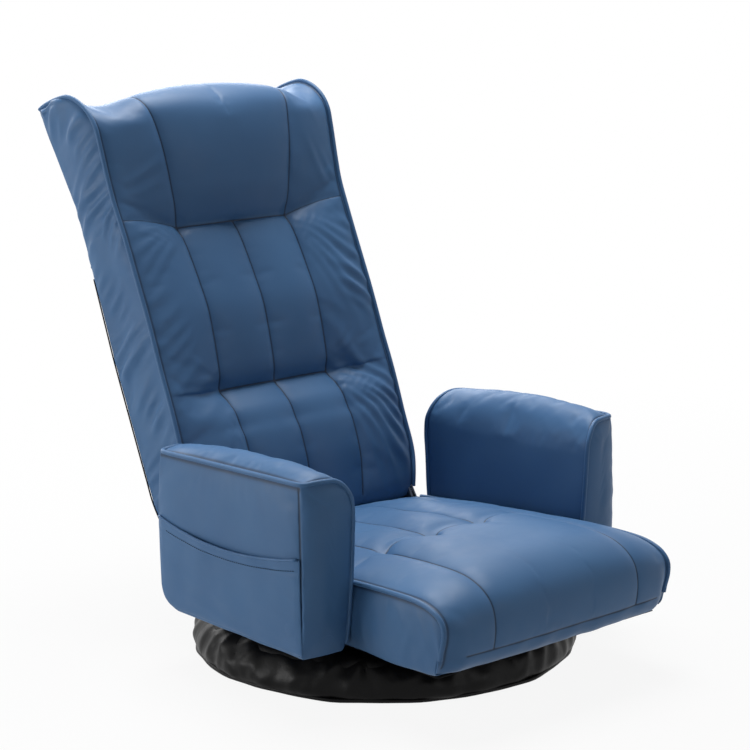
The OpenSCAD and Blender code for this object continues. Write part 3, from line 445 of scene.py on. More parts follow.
blueLook = {"low": "#395c84", "high": "#446b94", "seam": "#101c2e", "grain": 1.0, "crease": 0.3,
            "seamWidth": 0.6, "shadow": 0.5, "rough": 0.5, "bump": 0.3, "bumpHeight": 0.0012,
            "specular": 0.25}
blackLook = {"low": "#050506", "high": "#09090a", "seam": "#050506", "grain": 0.8, "crease": 1.3,
             "seamWidth": 0.6, "shadow": 0.4, "rough": 0.38, "bump": 0.5, "bumpHeight": 0.0012,
             "specular": 0.12}
clothLooks = {
    "black_cloth": {"low": "#0d0d0f", "high": "#1d1d20", "threads": 260},
    "foam": {"low": "#a89a72", "high": "#cabf98", "threads": 70},
    "webbing": {"low": "#2b2f38", "high": "#565c68", "threads": 130},
}
metalLooks = {
    "black_steel": {"low": "#141518", "high": "#1f2024", "fleck": 240, "rough": 0.35, "metal": 0.0},
    "zinc_steel": {"low": "#8d9094", "high": "#b3b6ba", "fleck": 90, "rough": 0.28, "metal": 1.0},
    "spring_steel": {"low": "#a2a4a8", "high": "#c4c6ca", "fleck": 160, "rough": 0.18, "metal": 1.0},
    "brass": {"low": "#a8863f", "high": "#c4a35a", "fleck": 120, "rough": 0.25, "metal": 1.0},
}
slotFinish = {}
for finish, looks in ((leatherette, {"blue_leatherette": blueLook, "black_leatherette": blackLook}),
                      (wovenCloth, clothLooks), (metalFinish, metalLooks)):
    for slot, slotLook in looks.items():
        firstWord, *words = slot.split("_")
        slotFinish[slot] = finish(firstWord + "".join(word.capitalize() for word in words), slotLook)
for entry in frame["record"]["subparts"]:
    cadNode = frame["nodes"][entry["node"]]
    cadNode.data.materials.clear()
    cadNode.data.materials.append(slotFinish[entry["material_slot"]])
print("materials ready:", len(slotFinish))


def dress(obj, body, slotName, replaced=()):
    obj.data.materials.clear()
    obj.data.materials.append(slotFinish[slotName])
    if replaced:
        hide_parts(*replaced)
    if body:
        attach(obj, body)
    return obj


piping = {"radius": 3.3 * mm, "proud": 1.6 * mm}
beside = 4.6  # from the piping to the stitched line beside it


def tube(name, path, body, slotName="blue_leatherette", radius=piping["radius"], sides=10, closed=False):
    # round cord along a path, both in metres
    p = np.asarray(path, float)
    n = len(p)
    t = np.roll(p, -1, 0) - np.roll(p, 1, 0) if closed else np.gradient(p, axis=0)
    t /= np.linalg.norm(t, axis=1, keepdims=True)
    up = np.cross(t[0], [0.31, 0.2, 0.93])  # any direction that no cord starts along
    points = []
    for i in range(n):
        up = up - t[i] * (up @ t[i])
        up /= np.linalg.norm(up)
        across = np.cross(t[i], up)
        for k in range(sides):
            a = 2 * math.pi * k / sides
            points.append(p[i] + radius * (math.cos(a) * up + math.sin(a) * across))
    ends = [tuple(range(sides))[::-1], tuple(range((n - 1) * sides, n * sides))]
    faces = ringFaces(n, sides) + (joinEnds(n, sides) if closed else ends)
    return dress(newObject(name, points, faces), body, slotName)


back = {
    "lean": math.radians(22.5), "pivot": (175.0, 151.0), "length": 684.0, "halfWidth": 212.0, "flare": 9.0,
    "thick": 102.0, "rear": 74.0, "sideDepth": 175.0, "seamX": 103.0, "headSeamX": 125.0, "cell": 6.0,
    "tight": 2.3, "sideCells": 18, "headSeamRise": 16.0, "headSeamSpan": 62.0, "channelSwell": 7.0,
    "headSwell": 12.0, "headEdge": (4.0, -7.0), "bolsterSwell": 6.0, "topDip": 19.0, "sideBulge": (0.5, 5.0),
    "air": {"pressure": 3.2, "frames": 18, "cap": 0.005, "slack": 0.003, "stiffness": 14, "bending": 1.2},
}
# where a form of the back starts, in mm, and the length over which it grows; a negative length runs down
backGrowth = {
    "flare": (0.6, 0.4), "lowTaper": (70, -70), "topEnding": (8, 70), "headLift": (0, 60),
    "headEdge": (0, 55), "headHollow": (610, 60), "topDip": (590, 94), "sideBulge": (380, 80),
    "lumbarLift": (0, 0.3), "lumbarEdge": (0, 0.25), "panelFolds": (30, 90), "panelSink": (430, -80),
    "looseStart": (20, 60), "looseAcross": (0, 60), "headFolds": (12, 40), "headFoldsEnd": (40, 60),
}
# depth in mm of what is sewn or pressed into the back's cover
backRelief = {
    "seam": 2.6, "corner": 4.0, "cornerSize": 11.0, "panel": 8.0, "bolster": 8.0, "loose": 5.5,
    "headFolds": {1: (2.6, 2.7, 24, 47, 2.0), -1: (1.2, 2.0, 34, 53, 1.6)}, "gather": 0.8,
    "gatherSpan": (14, 15),
}
# share of the length, then depth of the long seams and of the piping as shares of the thickness
backRows = [
    (-0.011, 0.1, 0.1), (0.004, 0.2, 0.2), (0.025, 0.25, 0.25), (0.06, 0.3, 0.27), (0.12, 0.37, 0.275),
    (0.181, 0.385, 0.28), (0.21, 0.345, 0.29), (0.243, 0.31, 0.3), (0.272, 0.21, 0.305), (0.302, 0.1, 0.305),
    (0.33, 0.16, 0.3), (0.36, 0.21, 0.295), (0.42, 0.275, 0.3), (0.48, 0.31, 0.3), (0.543, 0.27, 0.285),
    (0.605, 0.21, 0.27), (0.645, 0.15, 0.26), (0.67, 0.105, 0.252), (0.695, 0.16, 0.245),
    (0.72, 0.235, 0.243), (0.763, 0.33, 0.26), (0.81, 0.42, 0.29), (0.858, 0.48, 0.33), (0.907, 0.5, 0.345),
    (0.945, 0.475, 0.24), (0.975, 0.38, 0.06), (0.993, 0.22, -0.14), (1.0, 0.0, -0.36), (1.003, -0.3, -0.56),
    (1.004, -0.62, -0.76), (1.001, -0.88, -0.885)]
lumbarRow, headRow = 9, 17
# share of the length, and how far the rear face lies behind the frame there, as a share of the thickness
rearShares = ([0.006, 0.18, 0.42, 0.64, 0.77, 0.87, 0.95, 1.0], [0, 0.04, 0.08, 0.05, 0.01, 0.1, 0.18, 0.2])
# fans of folds on the bolsters: corner, side, first and last direction below level, count, reach, strength
bolsterFans = [
    ("head", 1, (22, 78, 6.0, 150), 1.0), ("lumbar", 1, (24, 80, 6.5, 165), 1.25),
    ("lumbar", 1, (-62, -12, 3.5, 60), 0.5), ("head", -1, (8, 52, 5, 120), 0.9),
    ("lumbar", -1, (56, 100, 7.0, 110), 1.1), ("lumbar", -1, (-50, 10, 3.5, 60), 0.4)]


def onBack(x, s, w):
    # from across the back, up along it and out of its front, in mm, to the chair's frame in metres
    lean, (py, pz) = back["lean"], back["pivot"]
    return np.stack([x, py + s * math.sin(lean) - w * math.cos(lean),
                     pz + s * math.cos(lean) + w * math.sin(lean)], -1) * mm


def rearDepth(s):
    return -back["rear"] - back["thick"] * float(np.interp(s / back["length"], *rearShares))


def backSeamX(s):
    # the long seams part above the cross seam of the head end
    share = np.clip((s / back["length"] - 0.67) / 0.27, 0, 1.15) ** 0.9
    return back["seamX"] + (back["headSeamX"] - back["seamX"]) * share


def flareAt(s):
    # the head end is a little wider, and the lower end a little narrower
    wide = back["flare"] / back["halfWidth"] * ease(s / back["length"], *backGrowth["flare"])
    return 1 + wide - 0.058 * ease(s, *backGrowth["lowTaper"])


def giveWay(obj):
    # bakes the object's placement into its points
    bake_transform(obj)


def makeBack():
    table, run, (lumbar, head) = stationsThrough(
        [(k * back["length"], p * back["thick"], q * back["thick"]) for k, p, q in backRows],
        back["cell"], (lumbarRow, headRow), back["tight"])
    rowCount, half, side, growth = len(table), back["halfWidth"], back["sideCells"], backGrowth
    seamX, wing = back["seamX"], half - back["seamX"]
    inner = spaced(0, 1, back["cell"] / seamX, back["tight"] / seamX)
    outer = spaced(0, 1, back["cell"] / wing, back["tight"] / wing)
    outer[-2] = 1 - beside / wing
    t = np.r_[beside / back["sideDepth"], np.linspace(0.07, 1, side - 1)[:-1]]
    innerCells, outerCells = len(inner) - 1, len(outer) - 1
    front = 2 * (innerCells + outerCells)
    m = 2 * (front + side)
    seamCols = (outerCells, outerCells + innerCells, outerCells + 2 * innerCells)
    # v runs from the middle to a long seam, u from there to the piping
    u = np.concatenate([outer[::-1], np.zeros(front - 2 * outerCells - 1), outer])
    v = np.concatenate([np.ones(outerCells), inner[::-1][:-1], inner, np.ones(outerCells)])
    sign = np.sign(np.arange(front + 1) - front / 2)
    slope = slopesOf(table)
    toEnd = run[-1] - run
    rings = []
    for i, (s, seamW, pipeW) in enumerate(table):
        xs = float(backSeamX(s))
        x = sign * (v * xs + u * (half - xs))
        w = seamW + (pipeW - seamW) * ease(u)
        fromHead, fromLumbar = run[i] - run[head], run[i] - run[lumbar]
        if i > head:
            ending = ease(toEnd[i], *growth["topEnding"])
            lift = back["headSwell"] * (1 - v ** 2.4) * ease(fromHead, *growth["headLift"]) * ending
            low, high = back["headEdge"]
            edge = low + (high - low) * ease(s, *growth["headHollow"])
            edge = edge * arch(u) * ease(fromHead, *growth["headEdge"]) * ending
        elif i > lumbar:
            share = 0.04 + 0.92 * fromLumbar / (run[head] - run[lumbar])
            lift = back["channelSwell"] * arch(v) ** 0.8 * arch(share) ** 0.6
            edge = back["bolsterSwell"] * arch(u) * arch(share) ** 0.5
        else:
            share = -fromLumbar / run[lumbar]
            lift = back["channelSwell"] * arch(v) ** 0.8 * ease(share, *growth["lumbarLift"])
            edge = back["bolsterSwell"] * arch(u) * ease(share, *growth["lumbarEdge"])
        out = np.where(u == 0, lift, edge)
        # the seam across the head end rises towards the piping
        rise = back["headSeamRise"] * (1 - (1 - u) ** 2) * bell(fromHead / back["headSeamSpan"])
        # the middle of the top edge lies lower than its two corners
        dip = back["topDip"] * (1 - u ** 3)
        sFront = s + rise - slope[i, 1] * out - dip * ease(s, *growth["topDip"])
        top = onBack(x * flareAt(s), sFront, w + slope[i, 0] * out)
        # the rear face ends a little lower than the crown, and starts a little higher than the fold
        sRear = min(s, back["length"] * (0.98 + 0.02 * ease(1 - toEnd[i] / 150)))
        sRear = max(sRear, 4 + (s + 8) * 0.5)
        wRear = rearDepth(sRear) if i < rowCount - 1 else pipeW - 3
        # between the armrests the sides stay flat enough for the back to fold down
        flat, full = back["sideBulge"]
        bulge = flat + (full - flat) * ease(s, *growth["sideBulge"])
        bulge = bulge * arch(t) * min(1, abs(pipeW - wRear) / 60)
        right = onBack((half + bulge) * flareAt(s), sFront[-1] + (sRear - sFront[-1]) * t,
                       pipeW + (wRear - pipeW) * t)
        rear = onBack(x[::-1] * flareAt(s), sRear - dip * ease(sRear, *growth["topDip"]), wRear + 0 * x)
        rings.append(np.vstack([top, right, rear, right[::-1] * [-1, 1, 1]]))
    seam = np.zeros((rowCount, m))
    seam[4:, [seamCols[0], seamCols[2]]] = 1
    seam[4:head + 1, seamCols[1]] = 1
    seam[[lumbar, head], seamCols[0]:seamCols[2] + 1] = 1
    seam[head, 1:seamCols[0]] = seam[head, seamCols[2] + 1:front] = 0.8
    # the headrest's side seams end on its crown
    seam[toEnd < 95] = 0
    seam[3:-1, [1, front - 1, front + 1, m - 1]] = 0.8
    held = heldCells(seam, front, side)
    low = (table[:, 0] < 400)[:, None] & (np.arange(m) > front)[None, :]
    held[low] = np.maximum(held[low], 0.9)
    held[:5] = held[-3:] = 1
    obj = cushionSkin("backCushion", np.array(rings), front, side)
    seamAttribute(obj, seam.ravel())
    breathe(obj, held.ravel(), back["air"])
    # what lies across the rings: t on the side panels, u and sign on the front
    across, out, sides = sideShares(t, front, side), np.zeros(m), np.zeros(m)
    out[:front + 1], sides[:front + 1] = u, sign
    place = {"s": table[:, :1] + 0 * seam, "toEnd": toEnd[:, None], "across": across[None, :],
             "out": out[None, :], "sides": sides[None, :], "head": table[head, 0], "lumbar": table[lumbar, 0]}
    x = np.zeros(m)
    x[:front + 1] = sign * (v * seamX + u * wing)
    depth = seamGroove(seam, backRelief["seam"]) + backFolds(place)
    # dips at the sewn corners, and small gathers along both cross seams
    s, relief = place["s"], backRelief
    xFront = np.where(np.arange(m) <= front, x, 500.0)
    inside = (np.arange(m) > seamCols[0]) & (np.arange(m) < seamCols[2])
    for row, seed in ((head, 83), (lumbar, 89)):
        for xs in (-seamX, seamX, 0):
            away = np.hypot(xFront[None, :] - xs, s - table[row, 0])
            depth -= relief["corner"] * (0.5 if xs == 0 else 1) * bell(away / relief["cornerSize"])
        below, span = relief["gatherSpan"]
        near = bell((s - table[row, 0] + below) / span)
        depth += relief["gather"] * near * inside[None, :] * pulls(s, x[None, :] + 0 * s, 0.15, 19, seed, 1.6)
    points = pushOut(obj, depth)
    edges = {"right": points[:, front].copy(), "left": points[:, 0].copy(),
             "rearRight": points[:, front + side].copy(), "rearLeft": points[:, 2 * front + side].copy(),
             "top": points[-1, :front + 1].copy(), "s": table[:, 0]}
    applyModifiers(obj)
    dress(obj, None, "blue_leatherette", ("back_cushion", "back_lower_roll"))
    giveWay(obj)
    print("back cushion:", len(obj.data.vertices), "points")
    return edges


def backFolds(place):
    s, growth, relief = place["s"], backGrowth, backRelief
    # side panels: long narrow pulls that run down and rearwards from the piping
    panel = arch(np.clip(place["across"], 0, 1)) ** 0.5 * ease(place["toEnd"], *growth["panelFolds"])
    far = place["across"] * 95 + 0 * s
    folds = (0.9 * pulls(s, far, 1.98, 33, 11, 2.4) + 0.6 * pulls(s, far, 2.2, 21, 29, 3.0)
             + 0.3 * waves(s, far, 37, 90))
    depth = relief["panel"] * panel * (folds - 0.55 * ease(s, *growth["panelSink"]))
    # bolsters: fans that leave the sewn corners, looser pulls between them, and a few beside the headrest
    out, sides = place["out"], place["sides"]
    wide = out * 100 + 0 * s
    hold = np.where(out > 0, arch(out) ** 0.4, 0)
    for k, (corner, hand, look, strength) in enumerate(bolsterFans):
        folds = fan(wide, s - place[corner], look, 31 + 7 * k)
        depth += relief["bolster"] * strength * hold * (sides == hand) * folds
    middle = ease(s, *growth["looseStart"]) * ease(s, place["head"] - 15, -40)
    for hand, turn, share in ((1, 2.34, 1.0), (-1, 2.1, 0.35)):
        loose = pulls(s, wide, turn, 25, 71 + hand, 1.8) * (0.45 + 0.55 * ease(wide, *growth["looseAcross"]))
        depth += relief["loose"] * share * hold * middle * (sides == hand) * loose
    atHead = ease(s - place["head"], *growth["headFolds"]) * ease(place["toEnd"], *growth["headFoldsEnd"])
    for hand, (strength, *look) in relief["headFolds"].items():
        depth += strength * hold * atHead * (sides == hand) * pulls(s, wide, *look)
    return depth


backEdges = makeBack()

rearCloth = {"half": 208.0, "low": 4.0, "high": 433.0, "thick": 1.2, "sag": 1.4, "ripple": 0.8, "rows": 60,
             "cells": 44, "edge": 1.1 * mm, "seam": 2.2 * mm, "seamHalf": 210.0}


def pipeBack():
    for name, sign in (("Left", -1), ("Right", 1)):
        path = evenly(backEdges[name.lower()][3::4], 190) + np.array([sign * piping["proud"], 0, 0])
        giveWay(tube("backPiping" + name, path, None))
        rear = backEdges["rear" + name][(backEdges["s"] > 8) & (backEdges["s"] < rearCloth["high"] + 1)]
        tube("rearEdge" + name, evenly(rear[::5], 90), "back", "black_cloth", rearCloth["edge"], 8)
    tube("backTopPiping", evenly(backEdges["top"][::4], 80), "back")


pipeBack()


def makeRearCloth():
    low, high, half = rearCloth["low"], rearCloth["high"], rearCloth["half"]
    s, x = np.meshgrid(np.linspace(low, high, rearCloth["rows"]),
                       np.linspace(-half, half, rearCloth["cells"]), indexing="ij")
    sag = arch((s - low) / (high - low)) * np.cos(math.pi * x / 2 / half)
    ripple = waves(x, s, 3, 160) * 0.8 + pulls(s, x, 0.2, 60, 5) * 0.7
    w = np.vectorize(rearDepth)(s) - 1.2 - rearCloth["sag"] * sag - rearCloth["ripple"] * ripple
    x = x * (1 - 0.05 * ease(s, *backGrowth["lowTaper"]))
    obj = openSheet("rearCloth", onBack(x, s, w))
    applyModifiers(obj, False, rearCloth["thick"])
    dress(obj, "back", "black_cloth", ("back_rear_cloth",))
    edge = [onBack(x, high + 1, rearDepth(high) - 1.5)
            for x in np.linspace(-rearCloth["seamHalf"], rearCloth["seamHalf"], 60)]
    tube("rearClothSeam", edge, "back", radius=rearCloth["seam"], sides=8)


makeRearCloth()
print("back done")

seat = {
    "halfWidth": 212.0, "seamX": 135.0, "tuftX": 46.0, "cell": 6.0, "tight": 2.3, "sideCells": 16,
    "sideHeight": 88.0, "crossArc": 13.0, "arcSpan": 90.0, "roundness": 3.6, "cornerRound": 13.0,
    "cornerX": (176, 36),
    "air": {"pressure": 2.2, "frames": 16, "cap": 0.004, "slack": 0.002, "stiffness": 16, "bending": 1.5},
}
# depth in mm of what is sewn or pressed into the seat's cover, with its size
seatRelief = {"seam": 2.0, "tuft": (3.0, 10), "star": (0.9, 32), "corner": (1.6, 9), "side": 1.8, "top": 0.8,
              "nose": 1.3}
# along the seat from the crevice over the nose: y and z of the side piping, crown, y and z of the bottom edge
seatRows = [
    (168, 142, 3.5, 168, 79), (150, 144.5, 8, 150, 79), (110, 148, 18, 110, 79), (60, 152, 27, 60, 78.5),
    (0, 157, 31, 0, 78), (-70, 163.5, 32, -70, 78), (-155, 170, 31, -155, 78), (-200, 173, 31.5, -200, 78),
    (-245, 175, 32, -245, 77.5), (-296, 175, 31, -296, 78), (-326, 170.5, 28.5, -318, 79),
    (-347, 160.5, 23.5, -331, 80.5), (-357, 147, 16.5, -338, 82), (-362, 130, 10, -343, 83),
    (-361, 108, 6.5, -346, 84), (-357, 95, 5, -348, 84.5), (-350, 86.5, 3, -348.5, 85)]
crossRow, hemRow = 6, 14


def makeSeat():
    table, run, (cross, hem) = stationsThrough(seatRows, seat["cell"], (crossRow, hemRow), seat["tight"])
    rowCount, half, side = len(table), seat["halfWidth"], seat["sideCells"]
    seamX, tuftX = seat["seamX"], seat["tuftX"]
    stops = [-half, -seamX, -tuftX, tuftX, seamX, half]
    parts = [spaced(a, b, seat["cell"], seat["tight"]) for a, b in zip(stops[:-1], stops[1:])]
    x = np.concatenate([p[:-1] for p in parts] + [[half]])
    x[1], x[-2] = -half + beside, half - beside
    t = np.r_[beside / seat["sideHeight"], np.linspace(0.12, 1, side - 1)[:-1]]
    marks = np.cumsum([0] + [len(p) - 1 for p in parts])
    front = len(x) - 1
    m = 2 * (front + side)
    ax = np.abs(x)
    slope = slopesOf(table)
    # the cross seam is scalloped between the long seams and the tuft seams
    arc = np.zeros(len(x))
    for a, b in zip(marks[1:4], marks[2:5]):
        arc[a:b + 1] = seat["crossArc"] * arch(np.linspace(0, 1, b - a + 1))
    rings = []
    for i, (y, z, crown, yLow, zLow) in enumerate(table):
        # a broad crown that dips along the seams
        lift = crown * (1 - (ax / half) ** seat["roundness"])
        lift -= 0.1 * crown * bell((ax - seamX) / 14) * min(1, run[i] / 60)
        if i < cross + 3:
            lift -= 0.12 * crown * bell((ax - tuftX) / 12) * min(1, run[i] / 90)
        lift -= 0.12 * crown * bell((run[i] - run[cross] + arc) / 15) * (ax < seamX + 1)
        bend = arc * max(0, 1 - abs(run[i] - run[cross]) / seat["arcSpan"])
        # the crown points out of the surface, so it turns forwards over the nose, whose corners are rounded
        corner = seat["cornerRound"] * ease(run[i] - run[hem], -55, 55)
        cornerAt = corner * ease(ax, *seat["cornerX"]) ** 1.5
        top = np.stack([x, y + bend + lift * slope[i, 1] + cornerAt, z - lift * slope[i, 0]], 1)
        tall = min(1, math.hypot(y - yLow, z - zLow) / 60)
        bulge = (3.5 - 6 * ease(t, 0.86, 0.14)) * arch(0.08 + 0.9 * t) * tall
        sag = 1.8 * math.sin(y / 31.0) + 1.2 * math.sin(y / 17.0 + 1)
        low = zLow + sag * ease(y, -340, 60) * ease(y, 165, -60) * 0.5
        right = np.stack([half + bulge, y + (yLow - y) * t + corner, z + (low - z) * t], 1)
        under = np.stack([x[::-1] * (1 - 0.01 * tall), yLow + cornerAt, low + 0 * x], 1)
        rings.append(np.vstack([top, right, under, right[::-1] * [-1, 1, 1]]))
    points = np.array(rings)
    seam = np.zeros((rowCount, m))
    seam[3:hem + 1, [marks[1], marks[4]]] = 1
    seam[3:cross + 1, [marks[2], marks[3]]] = 1
    seam[cross, marks[1]:marks[4] + 1] = 1
    seam[hem, 6:front - 5] = 1
    seam[3:-2, [1, front - 1, front + 1, m - 1]] = 0.8
    held = heldCells(seam, front, side)
    held[:4] = held[hem:] = 1
    obj = cushionSkin("seatCushion", points * mm, front, side)
    seamAttribute(obj, seam.ravel())
    breathe(obj, held.ravel(), seat["air"])
    x, y, z = points[..., 0], points[..., 1], points[..., 2]
    isTop = (np.arange(m) <= front)[None, :]
    across = sideShares(t, front, side)
    far = across[None, :] * 95 + 0 * y
    depth = seamGroove(seam, seatRelief["seam"])
    depth += seatRelief["side"] * arch(np.clip(across, 0, 1)) ** 0.5 * (
        pulls(y, far, 1.9, 34, 61, 2) + 0.5 * pulls(y, far, 1.2, 21, 67, 3))
    depth += seatRelief["top"] * isTop * (1 - seam) * waves(x, y, 71, 150)
    for tuft in (-tuftX, tuftX):
        dx, dy = x - tuft, y - y[cross, marks[2]]
        away = np.hypot(dx, dy)
        deep, size = seatRelief["tuft"]
        depth -= isTop * deep * bell(away / size)
        # short pulls that leave each tuft
        strength, reach = seatRelief["star"]
        star = (0.5 + 0.5 * np.cos(np.arctan2(dy, dx) * 7 + tuft)) ** 2
        depth += strength * isTop * (star * ease(away, 6, 10) * bell(away / reach))
    for corner in (-seamX, seamX):
        deep, size = seatRelief["corner"]
        depth -= isTop * deep * bell(np.hypot(x - corner, y - y[cross, marks[1]]) / size)
    # gathers where the piping turns down at the front corners
    nose = bell((np.abs(x) - 196) / 16) * ease(-y, 290, 30) * ease(z, 100, 20)
    depth += seatRelief["nose"] * isTop * nose * pulls(run[:, None] + 0 * y, x, 1.75, 13, 97, 1.5)
    # the strip under the hem is a little loose
    depth[hem + 1:] += seatRelief["top"] * isTop * waves(x, z, 99, 60)[hem + 1:]
    points = pushOut(obj, depth)
    applyModifiers(obj)
    dress(obj, "seat", "blue_leatherette", ("seat_cushion",))
    print("seat cushion:", len(obj.data.vertices), "points")
    for name, col, sign in (("Left", 0, -1), ("Right", front, 1)):
        path = evenly(points[3:-3:3, col], 120) + np.array([sign * piping["proud"], 0, 0])
        tube("seatPiping" + name, path, "seat")


makeSeat()

seatCloth = {"front": -334, "rear": 170, "half": 205, "z": 76.9, "ripple": 0.35, "thick": 1.2}


def makeSeatCloth():
    y, x = np.meshgrid(np.linspace(seatCloth["front"], seatCloth["rear"], 50),
                       np.linspace(-seatCloth["half"], seatCloth["half"], 40), indexing="ij")
    z = seatCloth["z"] + seatCloth["ripple"] * np.sin(x / 33) * np.sin(y / 47)
    obj = openSheet("seatUnderCloth", np.stack([x, y, z], -1) * mm)
    applyModifiers(obj, False, seatCloth["thick"], 0)
    tidyNormals(obj)
    dress(obj, "seat", "black_cloth", ("seat_bottom_cloth",))


makeSeatCloth()
print("seat done")

arm = {
    "inner": 221.0, "outer": 293.0, "low": 77.0, "top": 315.5, "fall": 10.5, "crown": 18.0, "outerBulge": 2.5,
    "innerBulge": 0.5, "tuck": 4.0, "sideCells": 32, "topCells": 22, "rows": 52, "capInset": 36.0,
    "capPuff": 3.5,
    "air": {"pressure": 2.2, "frames": 14, "cap": 0.004, "slack": 0.006, "stiffness": 14, "bending": 0.4},
}
# depth in mm of what is sewn or pressed into the arms' covers, and how far the gathers reach from the piping
armRelief = {"seam": 1.4, "lumps": 0.6, "panelGather": 2.2, "topGather": 0.9, "rows": 3.2, "drop": 34}
# height, then how far forward and how far back the arm reaches there, at its inner and at its outer side
armFront = ([(77, -172), (126, -178.5), (176, -184), (226, -187.5), (273, -190), (300, -189), (316, -185)],
            [(77, -163), (95, -169), (126, -173), (200, -174.5), (250, -173), (316, -169)])
armRear = ([(77, 108), (84, 122), (92, 131), (105, 138), (120, 141), (146, 144), (209, 148), (240, 151),
            (265, 149), (284, 145), (307, 140)],
           [(77, 108), (84, 122), (92, 130), (105, 136), (120, 139), (200, 142), (307, 137)])
# rounding of the inner top edge at the front, in the middle and at the rear: width and height
armRounding = ((32, 47, 46), (44, 48, 40))


def armReach(x, z, v):
    # y at a share v of the way from the front face to the rear face
    across = np.clip((x - arm["inner"]) / (arm["outer"] - arm["inner"]), 0, 1)
    ends = []
    for (inner, outer), power in ((armFront, 2.2), (armRear, 1.5)):
        a, b = (np.interp(z, *zip(*rows)) for rows in (inner, outer))
        ends.append(a + (b - a) * across ** power)
    return ends[0] + (ends[1] - ends[0]) * v


def armSection(v):
    # outer side upwards, top and rounding inwards, inner side downwards, then the underside
    sideCells, topCells, low = arm["sideCells"], arm["topCells"], arm["low"]
    thick = arm["outer"] - arm["inner"]
    wide, high = (float(np.interp(v, [0, 0.5, 1], row)) for row in armRounding)
    swell = 1.5 + arm["crown"] * max(0, arch(v ** 0.85)) ** 0.6
    top = arm["top"] - arm["fall"] * v
    k = np.r_[np.linspace(0, 0.945, sideCells - 1), 1 - beside / (top - low), 1]
    tuck = arm["tuck"] * np.clip(1 - k / 0.04, 0, 1) ** 2
    outerX = arm["outer"] + arm["outerBulge"] * arch(k) - tuck
    outerZ = low + (top - low) * k
    turn = np.linspace(math.pi / 2, 0, 24)
    d = np.r_[np.linspace(thick, wide, 20)[:-1], wide * (1 - np.cos(turn))]
    drop = np.r_[np.zeros(19), high * (1 - np.sin(turn))]
    lift = swell * arch(np.clip((thick - d) / (thick * 0.98), 0, 1)) ** 0.85
    dense = np.stack([arm["inner"] + d, top + lift - drop], 1)
    run = np.r_[0, np.cumsum(np.linalg.norm(np.diff(dense, axis=0), axis=1))]
    at = np.r_[0, beside, np.linspace(beside + 7, run[-1], topCells - 1)]
    topX, topZ = (np.interp(at, run, dense[:, c]) for c in (0, 1))
    k = np.linspace(0, 1, sideCells + 1)
    innerX = arm["inner"] - arm["innerBulge"] * arch(k) + arm["tuck"] * np.clip((k - 0.96) / 0.04, 0, 1) ** 2
    innerZ = topZ[-1] + (low - topZ[-1]) * k
    underX = np.linspace(innerX[-1], outerX[0], topCells + 1)
    x = np.r_[outerX, topX[1:], innerX[1:], underX[1:-1]]
    z = np.r_[outerZ, topZ[1:], innerZ[1:], np.full(topCells - 1, low)]
    return x, z


def armCap(v):
    # rings that shrink from the front or the rear edge to the middle of that face, a little puffed
    x, z = armSection(v)
    inset = arm["capInset"]
    middle = np.stack([np.full(len(x), (arm["inner"] + arm["outer"]) / 2),
                       np.clip(z, arm["low"] + inset, arm["top"] - inset)], 1)
    rows = []
    for k in (0.965, 0.88, 0.76, 0.62, 0.46, 0.3, 0.14):
        p = middle + (np.stack([x, z], 1) - middle) * k
        puff = arm["capPuff"] * (1 - k ** 2) * (1 if v else -1)
        rows.append(np.stack([p[:, 0], armReach(p[:, 0], p[:, 1], v) + puff, p[:, 1]], 1))
    return rows


